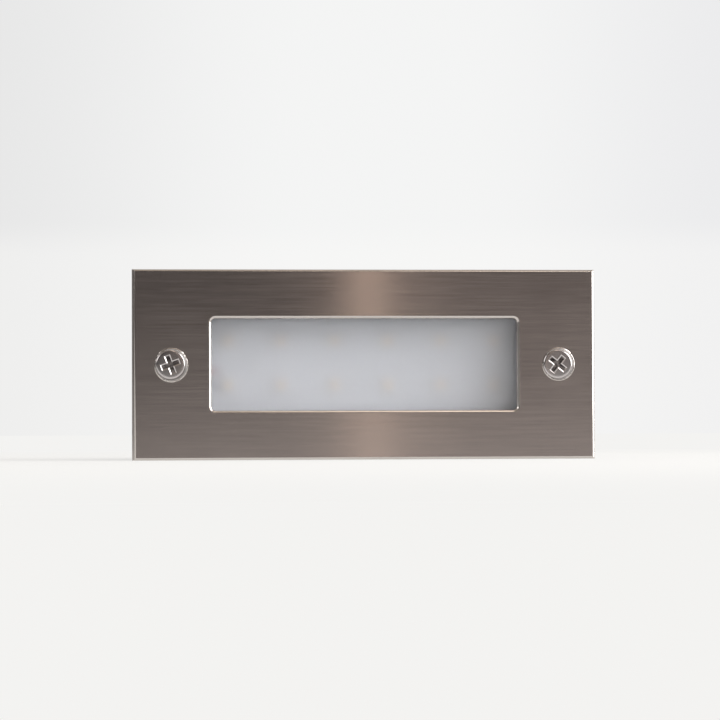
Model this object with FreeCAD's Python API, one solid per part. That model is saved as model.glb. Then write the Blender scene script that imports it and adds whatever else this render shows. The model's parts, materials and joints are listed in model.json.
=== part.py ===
import FreeCAD, Part
import math
import os

from FreeCAD import Vector

# A recessed step light, seen from the front along +Y, with X to the right and Z up. All sizes are
# in millimetres. The origin is the middle of the wall opening, in the plane of the finished wall:
# the steel faceplate and its gasket stand in front of that plane (Y below 0), and the lamp unit and
# the wall box that it is screwed into lie behind it (Y above 0).
#
# The sizes run inwards from the faceplate: the faceplate has to cover the wall box, the box takes the
# lamp unit and the posts for its two screws, the lamp unit's housing sets the glass and the light well,
# and the well sets the window and the array of LEDs behind it.

# ---------------------------------------------------------------- faceplate and its gasket
plate_length = 110.0
plate_height = 45.0
plate_thickness = 2.0
plate_edge_radius = 0.65        # rounding of the front arrises, outside and round the window
plate_overhang = 3.0            # the faceplate covers this much of the wall beyond the box
gasket_thickness = 1.0
gasket_inset = 0.5              # the gasket stops this far inside the faceplate's edge
gasket_corner_radius = 1.5
gasket_rim_gap = 0.3            # between the gasket's inner lip and the rim of the wall box

# ---------------------------------------------------------------- LED array and light window
led_columns = 6
led_rows = 2
led_array_rise = 0.6            # the array sits this much above the middle of its board
led_package_x = 2.8
led_package_z = 3.5
led_package_height = 0.8
led_cavity_radius = 1.15
led_cavity_depth = 0.5
led_phosphor_depth = 0.45
window_beyond_leds_x = 4.3      # from the last LED's centre to the window's edge
window_beyond_leds_z = 5.55
window_corner_radius = 1.4

# ---------------------------------------------------------------- glass, its seal and the light well
well_margin = 1.6               # the light well is this much wider than the window, all round
glass_bearing = 1.8             # width of glass held by the seal's lips
glass_thickness = 3.0
glass_corner_radius = 1.5
seal_lip = 0.5                  # silicone in front of the glass and behind it
seal_web = 0.6                  # silicone round the edge of the glass
snug = 0.1                      # gap round a piece that drops into its seat
reflector_wall = 0.8
reflector_depth = 5.5
led_board_thickness = 1.2
led_board_gap = 0.3
well_corner_radius = 1.6

# ---------------------------------------------------------------- lamp housing
housing_wall = 1.5              # beside the glass rebate
chamber_wall = 1.6              # round the driver chamber
housing_corner_radius = 2.6
web_thickness = 1.6             # between the light well and the driver chamber
flange_thickness = 2.5
flange_lip = 0.8                # the flange stands out this much above and below the housing
flange_corner_radius = 3.0
ear_beyond_screw = 3.7          # length of the open ear past the screw's axis
standoff_height = 2.7
standoff_radius = 2.2
standoff_pilot_radius = 1.0
cover_boss_radius = 3.4
cover_boss_inset = 3.1          # from the driver chamber's walls to a boss's axis
cover_pilot_radius = 1.2
cover_pilot_depth = 7.5

# ---------------------------------------------------------------- raised countersunk face screws, M4
screw_shank_radius = 1.95
screw_head_radius = 3.6
screw_head_land = 0.25          # upright rim between the cone and the raised crown
screw_crown = 0.95
screw_past_insert = 1.0         # the tip stands out this far behind the insert
screw_tip_chamfer = 0.5
screw_seat_gap = 0.05
screw_clear_radius = 2.8        # hole in the plate and slot in the ear, wide enough for the O-ring
countersink_radius = 4.1
screw_turn_left = 20.0          # how far the cross recess is turned, in degrees
screw_turn_right = 52.0
recess_span = 3.9               # tip to tip of the cross at the crown
recess_wing = 0.95
recess_floor_span = 1.7
recess_floor_wing = 0.55
recess_depth = 2.1              # below the crown's top
recess_core_radius = 1.15
o_ring_section_radius = 0.35
o_ring_sides = 8                # flats round the ring's section
thread_pitch = 0.7

# ---------------------------------------------------------------- wall box
box_wall = 1.8
box_clearance = 0.5             # round the lamp unit's flange
box_depth = 58.0
box_draft = 0.5                 # each side leans in this much from mouth to back
box_corner_radius = 3.2
box_back_edge_radius = 1.4
post_radius = 3.7
post_gap = 0.4                  # between a screw post and the lamp housing
insert_length = 8.0
insert_radius = 2.9
insert_bore_radius = 2.02
insert_groove_depth = 0.25
insert_groove_width = 1.0
insert_edge = 0.4
post_hole_beyond = 7.5          # clearance hole past the insert
post_hole_radius = 2.3
grip_rib_height = 0.9
grip_rib_width = 1.3
grip_rib_start = 5.0
grip_rib_stop_short = 6.0
grip_rib_pitch = 11.0
end_rib_pitch = 10.0
knockout_radius = 8.0
knockout_groove_width = 0.8
knockout_groove_depth = 1.1
knockout_setback = 40.0         # from the wall's plane to a knock-out's centre
knockout_spread = 22.0          # from the box's middle to a knock-out's centre
fixing_hole_radius = 2.25
fixing_hole_spread = 30.0
fixing_pad_radius = 5.0
fixing_pad_height = 0.8
guide_rib_height = 0.8
guide_rib_width = 1.6
guide_rib_spread = 24.0
guide_rib_start = 3.0
guide_rib_length = 24.0

# ---------------------------------------------------------------- driver
sheet_thickness = 0.3
sheet_gap = 1.0
driver_board_thickness = 1.6
board_boss_gap = 0.4            # between the board's ends and the corner bosses
driver_board_side_gap = 1.9
driver_board_corner_radius = 0.8
board_screw_inset_x = 3.2
board_screw_inset_z = 3.0
board_screw_radius = 0.95
board_screw_head_radius = 2.0
board_screw_head_height = 1.4
board_screw_length = 4.6
part_margin = 1.2               # bare board between parts
block_x = 8.2
block_z = 10.2
block_height = 10.0
block_pole_pitch = 5.0
block_screw_radius = 1.6
block_entry_height = 2.6        # from the board to the bottom of a wire entry
block_entry_size = 3.2
block_screw_well = 3.0
block_step_depth = 3.0
safety_cap_x = 5.0
safety_cap_z = 13.0
safety_cap_height = 10.5
safety_cap_edge = 0.4
fuse_body_radius = 1.6
fuse_body_length = 9.0
fuse_lead_radius = 0.35
fuse_waist = 0.24               # the waist is this much smaller in radius
fuse_edge = 0.3
filter_cap_radius = 4.0
filter_cap_length = 12.0
filter_cap_groove = 0.35
filter_cap_base = 1.4           # from the base to the crimped groove
inductor_radius = 3.6
inductor_height = 8.0
inductor_flange = 1.0
inductor_winding_inset = 0.6
bridge_x = 4.7
bridge_z = 3.9
bridge_height = 2.4
chip_x = 5.0
chip_z = 4.0
chip_height = 1.5
small_part_x = 1.6
small_part_z = 3.2
small_part_height = 0.6
small_part_count = 4
chip_leg_thickness = 0.25
chip_leg_width = 0.45
chip_leg_reach = 0.9
chip_leg_pairs = 4
bridge_leg_pairs = 2
driver_headroom = 2.0           # between the tallest part and the rear cover

# ---------------------------------------------------------------- LED leads
lead_radius = 0.6
lead_bend_radius = 1.5
lead_from_well_end = 2.7        # from the light well's end to the leads
lead_first_z = -1.5
lead_spacing = 3.5
lead_landing = 4.2              # run of each lead over the driver board
lead_stub = 0.4                 # stands out in front of the LED board

# ---------------------------------------------------------------- rear cover and cable gland
cover_thickness = 2.5
cover_gasket_thickness = 0.8
cover_screw_radius = 1.15
cover_screw_hole_radius = 1.4
cover_screw_head_radius = 2.4
cover_screw_head_height = 1.5
cover_screw_length = 8.6
screw_cross_length = 3.2        # a small screw's cross is this many slots long
cover_edge = 0.5
cover_fin_slots = 3             # heat grooves on each side of the gland
cover_fin_slot_width = 1.2
cover_fin_slot_depth = 0.8
cover_fin_pitch = 3.0
gland_thread_radius = 6.0
gland_hex_flats = 16.0
gland_hex_length = 5.0
gland_hex_edge = 0.7            # how far the turned rounding reaches down the hexagon
gland_washer_thickness = 1.0
gland_washer_width = 1.6
gland_nut_thickness = 4.5
gland_thread_past_nut = 1.0
gland_bore_radius = 3.6
gland_neck_length = 6.5         # threaded neck that the cap screws onto
gland_neck_radius = 6.1
bush_bore_radius = 3.25
bush_radius = 4.8
bush_length = 8.0
bush_lead_in = 0.4
bush_nose = 0.8
cap_length = 11.0
cap_wall = 1.5
cap_mouth_radius = 3.9
cap_roof = 1.6
cap_dome = 3.0
cap_flat_depth = 0.35
cap_gap = 0.5                   # between the cap and the hexagon
cap_thread_pitch = 1.5
cap_turns = 4                   # turns that free the cable
grommet_bore_radius = 3.5
grommet_seat_radius = 5.4
grommet_flange_radius = 7.4
grommet_flange_thickness = 1.5
grommet_edge = 0.6

# ---------------------------------------------------------------- sizes across the wall (X and Z)
box_length = plate_length - 2 * plate_overhang
box_height = plate_height - 2 * plate_overhang
mouth_length = box_length - 2 * box_wall
mouth_height = box_height - 2 * box_wall
flange_length = mouth_length - 2 * box_clearance
flange_height = mouth_height - 2 * box_clearance
screw_x = flange_length / 2 - ear_beyond_screw
housing_length = 2 * (screw_x - post_radius - post_gap)
housing_height = flange_height - 2 * flange_lip
chamber_length = housing_length - 2 * chamber_wall
chamber_height = housing_height - 2 * chamber_wall
rebate_length = housing_length - 2 * housing_wall
rebate_height = housing_height - 2 * housing_wall
seal_length = rebate_length - 2 * snug
seal_height = rebate_height - 2 * snug
glass_length = seal_length - 2 * seal_web
glass_height = seal_height - 2 * seal_web
well_length = glass_length - 2 * glass_bearing
well_height = glass_height - 2 * glass_bearing
window_length = well_length - 2 * well_margin
window_height = well_height - 2 * well_margin
led_pitch_x = (window_length - 2 * window_beyond_leds_x) / (led_columns - 1)
led_pitch_z = (window_height - 2 * window_beyond_leds_z) / (led_rows - 1)

# ---------------------------------------------------------------- places through the wall (Y)
plate_back_y = -gasket_thickness
plate_front_y = plate_back_y - plate_thickness
glass_front_y = plate_back_y + seal_lip
glass_back_y = glass_front_y + glass_thickness
ledge_y = glass_back_y + seal_lip
led_board_front_y = glass_back_y + reflector_depth
web_front_y = led_board_front_y + led_board_thickness
web_back_y = web_front_y + web_thickness
flange_back_y = plate_back_y + flange_thickness
board_y = web_back_y + standoff_height
parts_y = board_y + driver_board_thickness
tallest_part = max(block_height, safety_cap_height, inductor_height, 2 * filter_cap_radius)
cover_front_y = parts_y + tallest_part + driver_headroom
housing_back_y = cover_front_y - cover_gasket_thickness
cover_back_y = cover_front_y + cover_thickness
gland_hex_y = cover_back_y + gland_washer_thickness
cap_y = gland_hex_y + gland_hex_length + cap_gap
bush_y = cap_y + cap_length - cap_roof - bush_length
box_floor_y = box_depth - box_wall

driver_board_length = chamber_length - 2 * (cover_boss_inset + cover_boss_radius + board_boss_gap)
driver_board_height = chamber_height - 2 * driver_board_side_gap
boss_x = chamber_length / 2 - cover_boss_inset
boss_z = chamber_height / 2 - cover_boss_inset
board_screw_x = driver_board_length / 2 - board_screw_inset_x
board_screw_z = driver_board_height / 2 - board_screw_inset_z
lead_x = -(well_length / 2 - lead_from_well_end)
lead_zs = [lead_first_z - i * lead_spacing for i in range(2)]
led_places = [
    (led_pitch_x * (i - (led_columns - 1) / 2), led_pitch_z * (j - (led_rows - 1) / 2) + led_array_rise)
    for i in range(led_columns)
    for j in range(led_rows)
]
sides = (-1, 1)
corners = [(i, j) for i in sides for j in sides]
through = 1.0                   # how far a cutting tool runs past the faces that it cuts


# ---------------------------------------------------------------- shapes that several pieces use
def outline(length, height, radius, y, x=0.0, z=0.0):
    """A closed wire: a rectangle with rounded corners, across the Y axis."""
    a, b, r = length / 2, height / 2, radius
    c = r * math.sqrt(0.5)
    edges = []
    spots = [(a - r, b - r, 0), (-a + r, b - r, 90), (-a + r, -b + r, 180), (a - r, -b + r, 270)]
    for k, (cx, cz, start) in enumerate(spots):
        def on_arc(angle):
            t = math.radians(angle)
            return Vector(x + cx + r * math.cos(t), y, z + cz + r * math.sin(t))
        edges.append(Part.Arc(on_arc(start), on_arc(start + 45), on_arc(start + 90)).toShape())
        nx, nz, _ = spots[(k + 1) % 4]
        t = math.radians(start + 90)
        first = on_arc(start + 90)
        second = Vector(x + nx + r * math.cos(t), y, z + nz + r * math.sin(t))
        if first.distanceToPoint(second) > 1e-6:
            edges.append(Part.LineSegment(first, second).toShape())
    return Part.Wire(edges)


def slab(length, height, radius, y0, y1, x=0.0, z=0.0):
    """A block with rounded corners that runs from y0 to y1."""
    return Part.Face(outline(length, height, radius, y0, x, z)).extrude(Vector(0, y1 - y0, 0))


def block(length, height, y0, y1, x=0.0, z=0.0):
    """A plain block, centred on x and z, that runs from y0 to y1."""
    return Part.makeBox(length, y1 - y0, height, Vector(x - length / 2, y0, z - height / 2))


def rod(radius, y0, y1, x=0.0, z=0.0):
    """A cylinder along Y from y0 to y1."""
    return Part.makeCylinder(radius, y1 - y0, Vector(x, y0, z), Vector(0, 1, 0))


def hexagon(flats, y0, y1):
    """A hexagonal prism along Y, with its flats facing up and down."""
    r = flats / math.sqrt(3)
    points = [Vector(r * math.cos(math.radians(60 * k)), y0, r * math.sin(math.radians(60 * k))) for k in range(7)]
    return Part.Face(Part.makePolygon(points)).extrude(Vector(0, y1 - y0, 0))


def turned(profile, x=0.0, z=0.0):
    """A solid turned about the Y axis from a list of (radius, y) corners, moved to x and z."""
    points = [Vector(r, y, 0) for r, y in profile]
    face = Part.Face(Part.makePolygon(points + points[:1]))
    solid = face.revolve(Vector(0, 0, 0), Vector(0, 1, 0), 360)
    solid.translate(Vector(x, 0, z))
    return solid


def tapered(sizes_front, radius, y0, sizes_back, y1):
    """A block whose outline changes evenly from y0 to y1, as a drafted moulding does."""
    return Part.makeLoft(
        [outline(*sizes_front, radius, y0), outline(*sizes_back, radius, y1)], True, True
    )


def edges_at(shape, y, keep=lambda edge: True):
    """The edges of a shape that lie wholly in the plane at y."""
    return [
        e for e in shape.Edges
        if abs(e.BoundBox.YMin - y) < 1e-4 and abs(e.BoundBox.YMax - y) < 1e-4 and keep(e)
    ]


def save(name, shape):
    """Writes one node, after a check that all of it is closed and solid."""
    shape = shape.removeSplitter() if len(shape.Solids) == 1 else shape
    if not shape.isValid() or not shape.Solids or any(s.Volume <= 0 for s in shape.Solids):
        raise ValueError(name + " is not a sound solid")
    shape.exportStep(os.path.join("parts", name + ".step"))
    print(f"{name:24s} {len(shape.Solids):3d} solids {shape.Volume:10.1f} mm3")


# ---------------------------------------------------------------- faceplate, gasket and face screws
def faceplate():
    plate = block(plate_length, plate_height, plate_front_y, plate_back_y)
    window = slab(
        window_length, window_height, window_corner_radius, plate_front_y - through, plate_back_y + through
    )
    plate = plate.cut(window)
    plate = plate.makeFillet(plate_edge_radius, edges_at(plate, plate_front_y))
    for side in sides:
        sink = countersink_radius - screw_clear_radius
        hole = turned(
            [
                (0, plate_front_y - through),
                (countersink_radius + through, plate_front_y - through),
                (screw_clear_radius, plate_front_y + sink),
                (screw_clear_radius, plate_back_y + through),
                (0, plate_back_y + through),
            ],
            side * screw_x,
        )
        plate = plate.cut(hole)
    return plate


def faceplate_gasket():
    """A ring that bears on the wall round the box, with a thinner lip over the box's rim."""
    outer = slab(
        plate_length - 2 * gasket_inset, plate_height - 2 * gasket_inset, gasket_corner_radius, plate_back_y, 0
    )
    inner = slab(mouth_length, mouth_height, flange_corner_radius, plate_back_y - through, through)
    rim = slab(
        box_length + 2 * gasket_rim_gap, box_height + 2 * gasket_rim_gap, box_corner_radius + gasket_rim_gap,
        -gasket_rim_gap, through,
    )
    return outer.cut(inner).cut(rim)


head_cone_y = plate_front_y + countersink_radius - screw_head_radius - screw_seat_gap * math.sqrt(2)
head_rim_y = head_cone_y - screw_head_land
head_foot_y = head_cone_y + screw_head_radius - screw_shank_radius
screw_tip_y = flange_back_y + insert_length + screw_past_insert
screw_turns = math.ceil((screw_tip_y - flange_back_y) / thread_pitch)


def cross_recess():
    """The tapered cross that a driver bit fits: four wings and a core, centred on the Y axis."""
    top = head_rim_y - screw_crown
    start, floor = top - through / 2, top + recess_depth
    grow = (start - floor) / (head_rim_y - floor)
    wings = []
    for angle in (0, 90):
        span = recess_floor_span + (recess_span - recess_floor_span) * grow
        wing = recess_floor_wing + (recess_wing - recess_floor_wing) * grow
        mouth = Part.makePolygon([
            Vector(i * span / 2, start, j * wing / 2)
            for i, j in ((1, 1), (-1, 1), (-1, -1), (1, -1), (1, 1))
        ])
        foot = Part.makePolygon([
            Vector(i * recess_floor_span / 2, floor, j * recess_floor_wing / 2)
            for i, j in ((1, 1), (-1, 1), (-1, -1), (1, -1), (1, 1))
        ])
        wedge = Part.makeLoft([mouth, foot], True, True)
        wedge.rotate(Vector(0, 0, 0), Vector(0, 1, 0), angle)
        wings.append(wedge)
    core = turned([(0, start), (recess_core_radius, start), (recess_floor_wing / 2, floor), (0, floor)])
    return wings[0].fuse([wings[1], core])


def face_screw(x, turn):
    """One raised countersunk screw, with its crown, cone, shank and cross recess."""
    rim, crown = screw_head_radius, screw_crown
    ball = (rim ** 2 + crown ** 2) / (2 * crown)
    mid_angle = math.asin(rim / ball) / 2
    mid = Vector(ball * math.sin(mid_angle), head_rim_y - crown + ball * (1 - math.cos(mid_angle)), 0)
    apex = Vector(0, head_rim_y - crown, 0)
    edge = Vector(rim, head_rim_y, 0)
    arc = Part.Arc(apex, mid, edge).toShape()
    rest = [
        edge,
        Vector(rim, head_cone_y, 0),
        Vector(screw_shank_radius, head_foot_y, 0),
        Vector(screw_shank_radius, screw_tip_y - screw_tip_chamfer, 0),
        Vector(screw_shank_radius - screw_tip_chamfer, screw_tip_y, 0),
        Vector(0, screw_tip_y, 0),
        apex,
    ]
    wire = Part.Wire([arc] + [Part.LineSegment(a, b).toShape() for a, b in zip(rest, rest[1:])])
    screw = Part.Face(wire).revolve(Vector(0, 0, 0), Vector(0, 1, 0), 360)
    screw = screw.cut(cross_recess())
    screw.rotate(Vector(0, 0, 0), Vector(0, -1, 0), turn)
    screw.translate(Vector(x, 0, 0))
    return screw


def screw_o_ring(x):
    """The ring that seals the shank, just behind the screw's cone."""
    r = o_ring_section_radius
    middle_r = screw_shank_radius + screw_seat_gap + r
    middle_y = head_foot_y + screw_seat_gap + r
    turns = [2 * math.pi * k / o_ring_sides for k in range(o_ring_sides)]
    return turned([(middle_r + r * math.cos(t), middle_y + r * math.sin(t)) for t in turns], x)


# ---------------------------------------------------------------- glass, seal, reflector and LED board
def glass_seal():
    seal = slab(seal_length, seal_height, glass_corner_radius + seal_web, plate_back_y, ledge_y)
    pocket = slab(glass_length, glass_height, glass_corner_radius, glass_front_y, glass_back_y)
    opening = slab(well_length, well_height, well_corner_radius, plate_back_y - through, ledge_y + through)
    return seal.cut(pocket).cut(opening)


def diffuser_glass():
    return slab(glass_length, glass_height, glass_corner_radius, glass_front_y, glass_back_y)


def reflector_frame():
    """The white frame that lines the light well and presses the LED board onto its web."""
    outer_l, outer_h = well_length - 2 * snug, well_height - 2 * snug
    radius = well_corner_radius - snug
    frame = slab(outer_l, outer_h, radius, glass_back_y, led_board_front_y)
    inner = slab(
        outer_l - 2 * reflector_wall, outer_h - 2 * reflector_wall, radius - reflector_wall,
        glass_back_y - through, led_board_front_y + through,
    )
    return frame.cut(inner)


def led_board():
    board = slab(
        well_length - 2 * led_board_gap, well_height - 2 * led_board_gap, well_corner_radius - led_board_gap,
        led_board_front_y, web_front_y,
    )
    for z in lead_zs:
        board = board.cut(rod(lead_radius + snug, led_board_front_y - through, web_front_y + through, lead_x, z))
    return board


def led_packages():
    """The white packages of the LEDs, each with the cup that holds its phosphor."""
    front = led_board_front_y - led_package_height
    packages = []
    for x, z in led_places:
        package = block(led_package_x, led_package_z, front, led_board_front_y, x, z)
        cup = rod(led_cavity_radius, front - through, front + led_cavity_depth, x, z)
        packages.append(package.cut(cup))
    return Part.makeCompound(packages)


def led_phosphors():
    floor = led_board_front_y - led_package_height + led_cavity_depth
    return Part.makeCompound([
        rod(led_cavity_radius - snug / 2, floor - led_phosphor_depth, floor, x, z) for x, z in led_places
    ])


def led_lead(z):
    """One lead: straight back from the LED board, then round onto the driver board."""
    r = lead_bend_radius
    start_y = led_board_front_y - lead_stub
    run_y = parts_y + lead_radius
    corner = r * (1 - math.sqrt(0.5))
    points = [
        Vector(lead_x, start_y, z),
        Vector(lead_x, run_y - r, z),
        Vector(lead_x + corner, run_y - corner, z),
        Vector(lead_x + r, run_y, z),
        Vector(lead_x + r + lead_landing, run_y, z),
    ]
    path = Part.Wire([
        Part.LineSegment(points[0], points[1]).toShape(),
        Part.Arc(points[1], points[2], points[3]).toShape(),
        Part.LineSegment(points[3], points[4]).toShape(),
    ])
    section = Part.Wire(Part.makeCircle(lead_radius, points[0], Vector(0, 1, 0)))
    return path.makePipeShell([section], True, False)


# ---------------------------------------------------------------- lamp housing
def lamp_housing():
    """The cast housing: flange with two open ears, glass rebate, light well, web and driver chamber."""
    body = slab(housing_length, housing_height, housing_corner_radius, plate_back_y, housing_back_y)
    flange = slab(flange_length, flange_height, flange_corner_radius, plate_back_y, flange_back_y)
    body = body.fuse(flange)
    for side in sides:
        slot = rod(screw_clear_radius, plate_back_y - through, flange_back_y + through, side * screw_x)
        reach = ear_beyond_screw + through
        mouth = block(
            reach, 2 * screw_clear_radius, plate_back_y - through, flange_back_y + through,
            side * (screw_x + reach / 2),
        )
        body = body.cut(slot.fuse(mouth))
    body = body.cut(slab(
        rebate_length, rebate_height, glass_corner_radius + seal_web + snug, plate_back_y - through, ledge_y
    ))
    body = body.cut(slab(well_length, well_height, well_corner_radius, ledge_y - through, web_front_y))
    chamber = slab(
        chamber_length, chamber_height, housing_corner_radius - chamber_wall, web_back_y,
        housing_back_y + through,
    )
    for i, j in corners:
        chamber = chamber.cut(rod(cover_boss_radius, web_back_y, housing_back_y, i * boss_x, j * boss_z))
    for i, j in corners:
        if i == j:
            chamber = chamber.cut(
                rod(standoff_radius, web_back_y, board_y, i * board_screw_x, j * board_screw_z)
            )
    body = body.cut(chamber)
    for i, j in corners:
        body = body.cut(rod(
            cover_pilot_radius, housing_back_y - cover_pilot_depth, housing_back_y + through,
            i * boss_x, j * boss_z,
        ))
        if i == j:
            body = body.cut(rod(
                standoff_pilot_radius, parts_y - board_screw_length - 2 * snug, board_y + through,
                i * board_screw_x, j * board_screw_z,
            ))
    return body.cut(lead_slot(web_front_y - through, web_back_y + through))


def lead_slot(y0, y1):
    """The hole that both LED leads pass through."""
    width = 2 * (lead_radius + 2 * snug)
    middle = sum(lead_zs) / len(lead_zs)
    return slab(width, lead_spacing + width, width / 2 - 1e-3, y0, y1, lead_x, middle)


# ---------------------------------------------------------------- driver board and what is on it
def insulation_sheet():
    sheet = slab(
        chamber_length - 2 * sheet_gap, chamber_height - 2 * sheet_gap, housing_corner_radius - chamber_wall,
        web_back_y, web_back_y + sheet_thickness,
    )
    for i in sides:
        sheet = sheet.cut(rod(
            standoff_radius + snug, web_back_y - through, web_back_y + through, i * board_screw_x,
            i * board_screw_z,
        ))
    for i, j in corners:
        sheet = sheet.cut(rod(
            cover_boss_radius + sheet_gap, web_back_y - through, web_back_y + through, i * boss_x, j * boss_z
        ))
    return sheet.cut(lead_slot(web_back_y - through, web_back_y + through))


def driver_board():
    board = slab(
        driver_board_length, driver_board_height, driver_board_corner_radius, board_y, parts_y
    )
    for i in sides:
        board = board.cut(rod(
            board_screw_radius + snug, board_y - through, parts_y + through, i * board_screw_x,
            i * board_screw_z,
        ))
    return board


def pan_screw(radius, length, head_radius, head_height, y, x, z, slot):
    """A pan head screw that runs from y towards -Y, with its head behind y and a cross in it."""
    dome = head_height / 3
    screw = turned(
        [
            (0, y - length), (radius / 2, y - length), (radius, y - length + radius), (radius, y),
            (head_radius, y), (head_radius, y + head_height - dome),
            (head_radius - dome, y + head_height), (0, y + head_height),
        ],
        x, z,
    )
    for size in ((slot * screw_cross_length, slot), (slot, slot * screw_cross_length)):
        screw = screw.cut(block(*size, y + head_height / 2, y + head_height + through, x, z))
    return screw


def driver_board_screws():
    return Part.makeCompound([
        pan_screw(
            board_screw_radius, board_screw_length, board_screw_head_radius, board_screw_head_height,
            parts_y, i * board_screw_x, i * board_screw_z, board_screw_head_radius / 4,
        )
        for i in sides
    ])


right_end = driver_board_length / 2 - part_margin
left_end = -right_end
fuse_x = right_end - fuse_body_radius
safety_x = fuse_x - fuse_body_radius - part_margin - safety_cap_x / 2
block_place_x = safety_x - safety_cap_x / 2 - part_margin - block_x / 2
block_screw_x = block_place_x + block_x / 6
filter_end_x = left_end + part_margin
filter_z = driver_board_height / 2 - part_margin - filter_cap_radius
inductor_x = filter_end_x + filter_cap_length + part_margin + inductor_radius
lower_z = -driver_board_height / 2 + part_margin
chip_place_x = -board_screw_x + board_screw_head_radius + part_margin + chip_x / 2
bridge_place_x = chip_place_x + chip_x / 2 + 2 * part_margin + bridge_x / 2


def terminal_block():
    """Two clamping poles in one housing, with the wire entries on one side and the screws on top."""
    top = parts_y + block_height
    body = block(block_x, block_z, parts_y, top, block_place_x)
    step = block(
        block_x / 3, block_z + 2 * through, top - block_step_depth, top + through, block_place_x - block_x / 2
    )
    body = body.cut(step)
    for j in sides:
        z = j * block_pole_pitch / 2
        entry_y = parts_y + block_entry_height
        entry = block(block_x, block_entry_size, entry_y, entry_y + block_entry_size, block_place_x - block_x / 2, z)
        well = rod(block_screw_radius + snug, top - block_screw_well, top + through, block_screw_x, z)
        body = body.cut(entry).cut(well)
    return body


def terminal_screws():
    screws = []
    for j in sides:
        z, top = j * block_pole_pitch / 2, parts_y + block_height - snug
        screw = rod(block_screw_radius, parts_y + block_height - block_screw_well, top, block_screw_x, z)
        slot = block(
            2 * block_screw_radius + through, block_screw_radius / 3, top - block_screw_radius / 2,
            top + through, block_screw_x, z,
        )
        screws.append(screw.cut(slot))
    return Part.makeCompound(screws)


def safety_capacitor():
    body = block(safety_cap_x, safety_cap_z, parts_y, parts_y + safety_cap_height, safety_x)
    return body.makeFillet(safety_cap_edge, edges_at(body, parts_y + safety_cap_height))


def fuse_resistor():
    """A waisted resistor across the board, with a bent wire at each end."""
    y, r, half = parts_y + fuse_body_radius, fuse_body_radius, fuse_body_length / 2
    waist, e = r - fuse_waist, fuse_edge
    profile = [
        (0, -half), (r - e, -half), (r, e - half), (r, -half / 2), (waist, e - half / 2),
        (waist, half / 2 - e), (r, half / 2), (r, half - e), (r - e, half), (0, half),
    ]
    points = [Vector(fuse_x + d, y, z) for d, z in profile]
    axis_point = Vector(fuse_x, y, 0)
    body = Part.Face(Part.makePolygon(points + points[:1])).revolve(axis_point, Vector(0, 0, 1), 360)
    bend = 2 * fuse_lead_radius
    corner = bend * (1 - math.sqrt(0.5))
    for j in sides:
        tail = j * (half + part_margin)
        start = Vector(fuse_x, y, j * (half - part_margin))
        wire = Part.Wire([
            Part.LineSegment(start, Vector(fuse_x, y, tail - j * bend)).toShape(),
            Part.Arc(
                Vector(fuse_x, y, tail - j * bend), Vector(fuse_x, y - corner, tail - j * corner),
                Vector(fuse_x, y - bend, tail),
            ).toShape(),
            Part.LineSegment(Vector(fuse_x, y - bend, tail), Vector(fuse_x, parts_y, tail)).toShape(),
        ])
        section = Part.Wire(Part.makeCircle(fuse_lead_radius, start, Vector(0, 0, 1)))
        body = body.fuse(wire.makePipeShell([section], True, False))
    return body


def filter_capacitor():
    """An electrolytic can lying on the board, with the crimped groove near its base."""
    x0, r, g, base = filter_end_x, filter_cap_radius, filter_cap_groove, filter_cap_base
    profile = [
        (0, 0), (r - g, 0), (r, g), (r, base), (r - g, base + g), (r, base + 2 * g),
        (r, filter_cap_length - g), (r - g, filter_cap_length), (0, filter_cap_length),
    ]
    points = [Vector(x0 + filter_cap_length - d, parts_y + r, filter_z + rr) for rr, d in profile]
    axis_point = Vector(x0, parts_y + r, filter_z)
    return Part.Face(Part.makePolygon(points + points[:1])).revolve(axis_point, Vector(1, 0, 0), 360)


def driver_inductor():
    """A drum core with its winding between two flanges."""
    r, w = inductor_radius, inductor_radius - inductor_winding_inset
    a, b = parts_y, parts_y + inductor_height
    return turned(
        [
            (0, a), (r, a), (r, a + inductor_flange), (w, a + inductor_flange),
            (w, b - inductor_flange), (r, b - inductor_flange), (r, b), (0, b),
        ],
        inductor_x, filter_z,
    )


def gull_wing_part(length, height, top, x, z, legs):
    """A moulded chip with legs along its two long sides."""
    thick, width, reach = chip_leg_thickness, chip_leg_width, chip_leg_reach
    foot = parts_y + thick
    body = block(length, height, foot, foot + top, x, z)
    for j in sides:
        for k in range(legs):
            leg_x = x + (k - (legs - 1) / 2) * length / legs
            leg = block(width, reach + thick, parts_y, foot, leg_x, z + j * (height + reach) / 2)
            post = block(width, thick * 2, parts_y, foot + top / 2, leg_x, z + j * (height + thick) / 2)
            body = body.fuse([leg, post])
    return body


def bridge_rectifier():
    z = lower_z + part_margin + bridge_z / 2
    return gull_wing_part(bridge_x, bridge_z, bridge_height, bridge_place_x, z, bridge_leg_pairs)


def driver_chip():
    z = lower_z + part_margin + chip_z / 2
    return gull_wing_part(chip_x, chip_z, chip_height, chip_place_x, z, chip_leg_pairs)


def small_parts():
    """The flat resistors and capacitors in a row below the terminal block and the safety capacitor."""
    z = lower_z + small_part_z / 2
    pitch = small_part_x + part_margin / 2
    start = block_place_x - block_x / 2
    return Part.makeCompound([
        block(small_part_x, small_part_z, parts_y, parts_y + small_part_height, start + k * pitch, z)
        for k in range(small_part_count)
    ])


# ---------------------------------------------------------------- rear cover and cable gland
def rear_cover_gasket():
    ring = slab(housing_length, housing_height, housing_corner_radius, housing_back_y, cover_front_y)
    inner = slab(
        chamber_length, chamber_height, housing_corner_radius - chamber_wall, housing_back_y - through,
        cover_front_y + through,
    )
    for i, j in corners:
        inner = inner.cut(rod(
            cover_boss_radius, housing_back_y - through, cover_front_y + through, i * boss_x, j * boss_z
        ))
    ring = ring.cut(inner)
    for i, j in corners:
        ring = ring.cut(rod(
            cover_screw_hole_radius, housing_back_y - through, cover_front_y + through, i * boss_x, j * boss_z
        ))
    return ring


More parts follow.
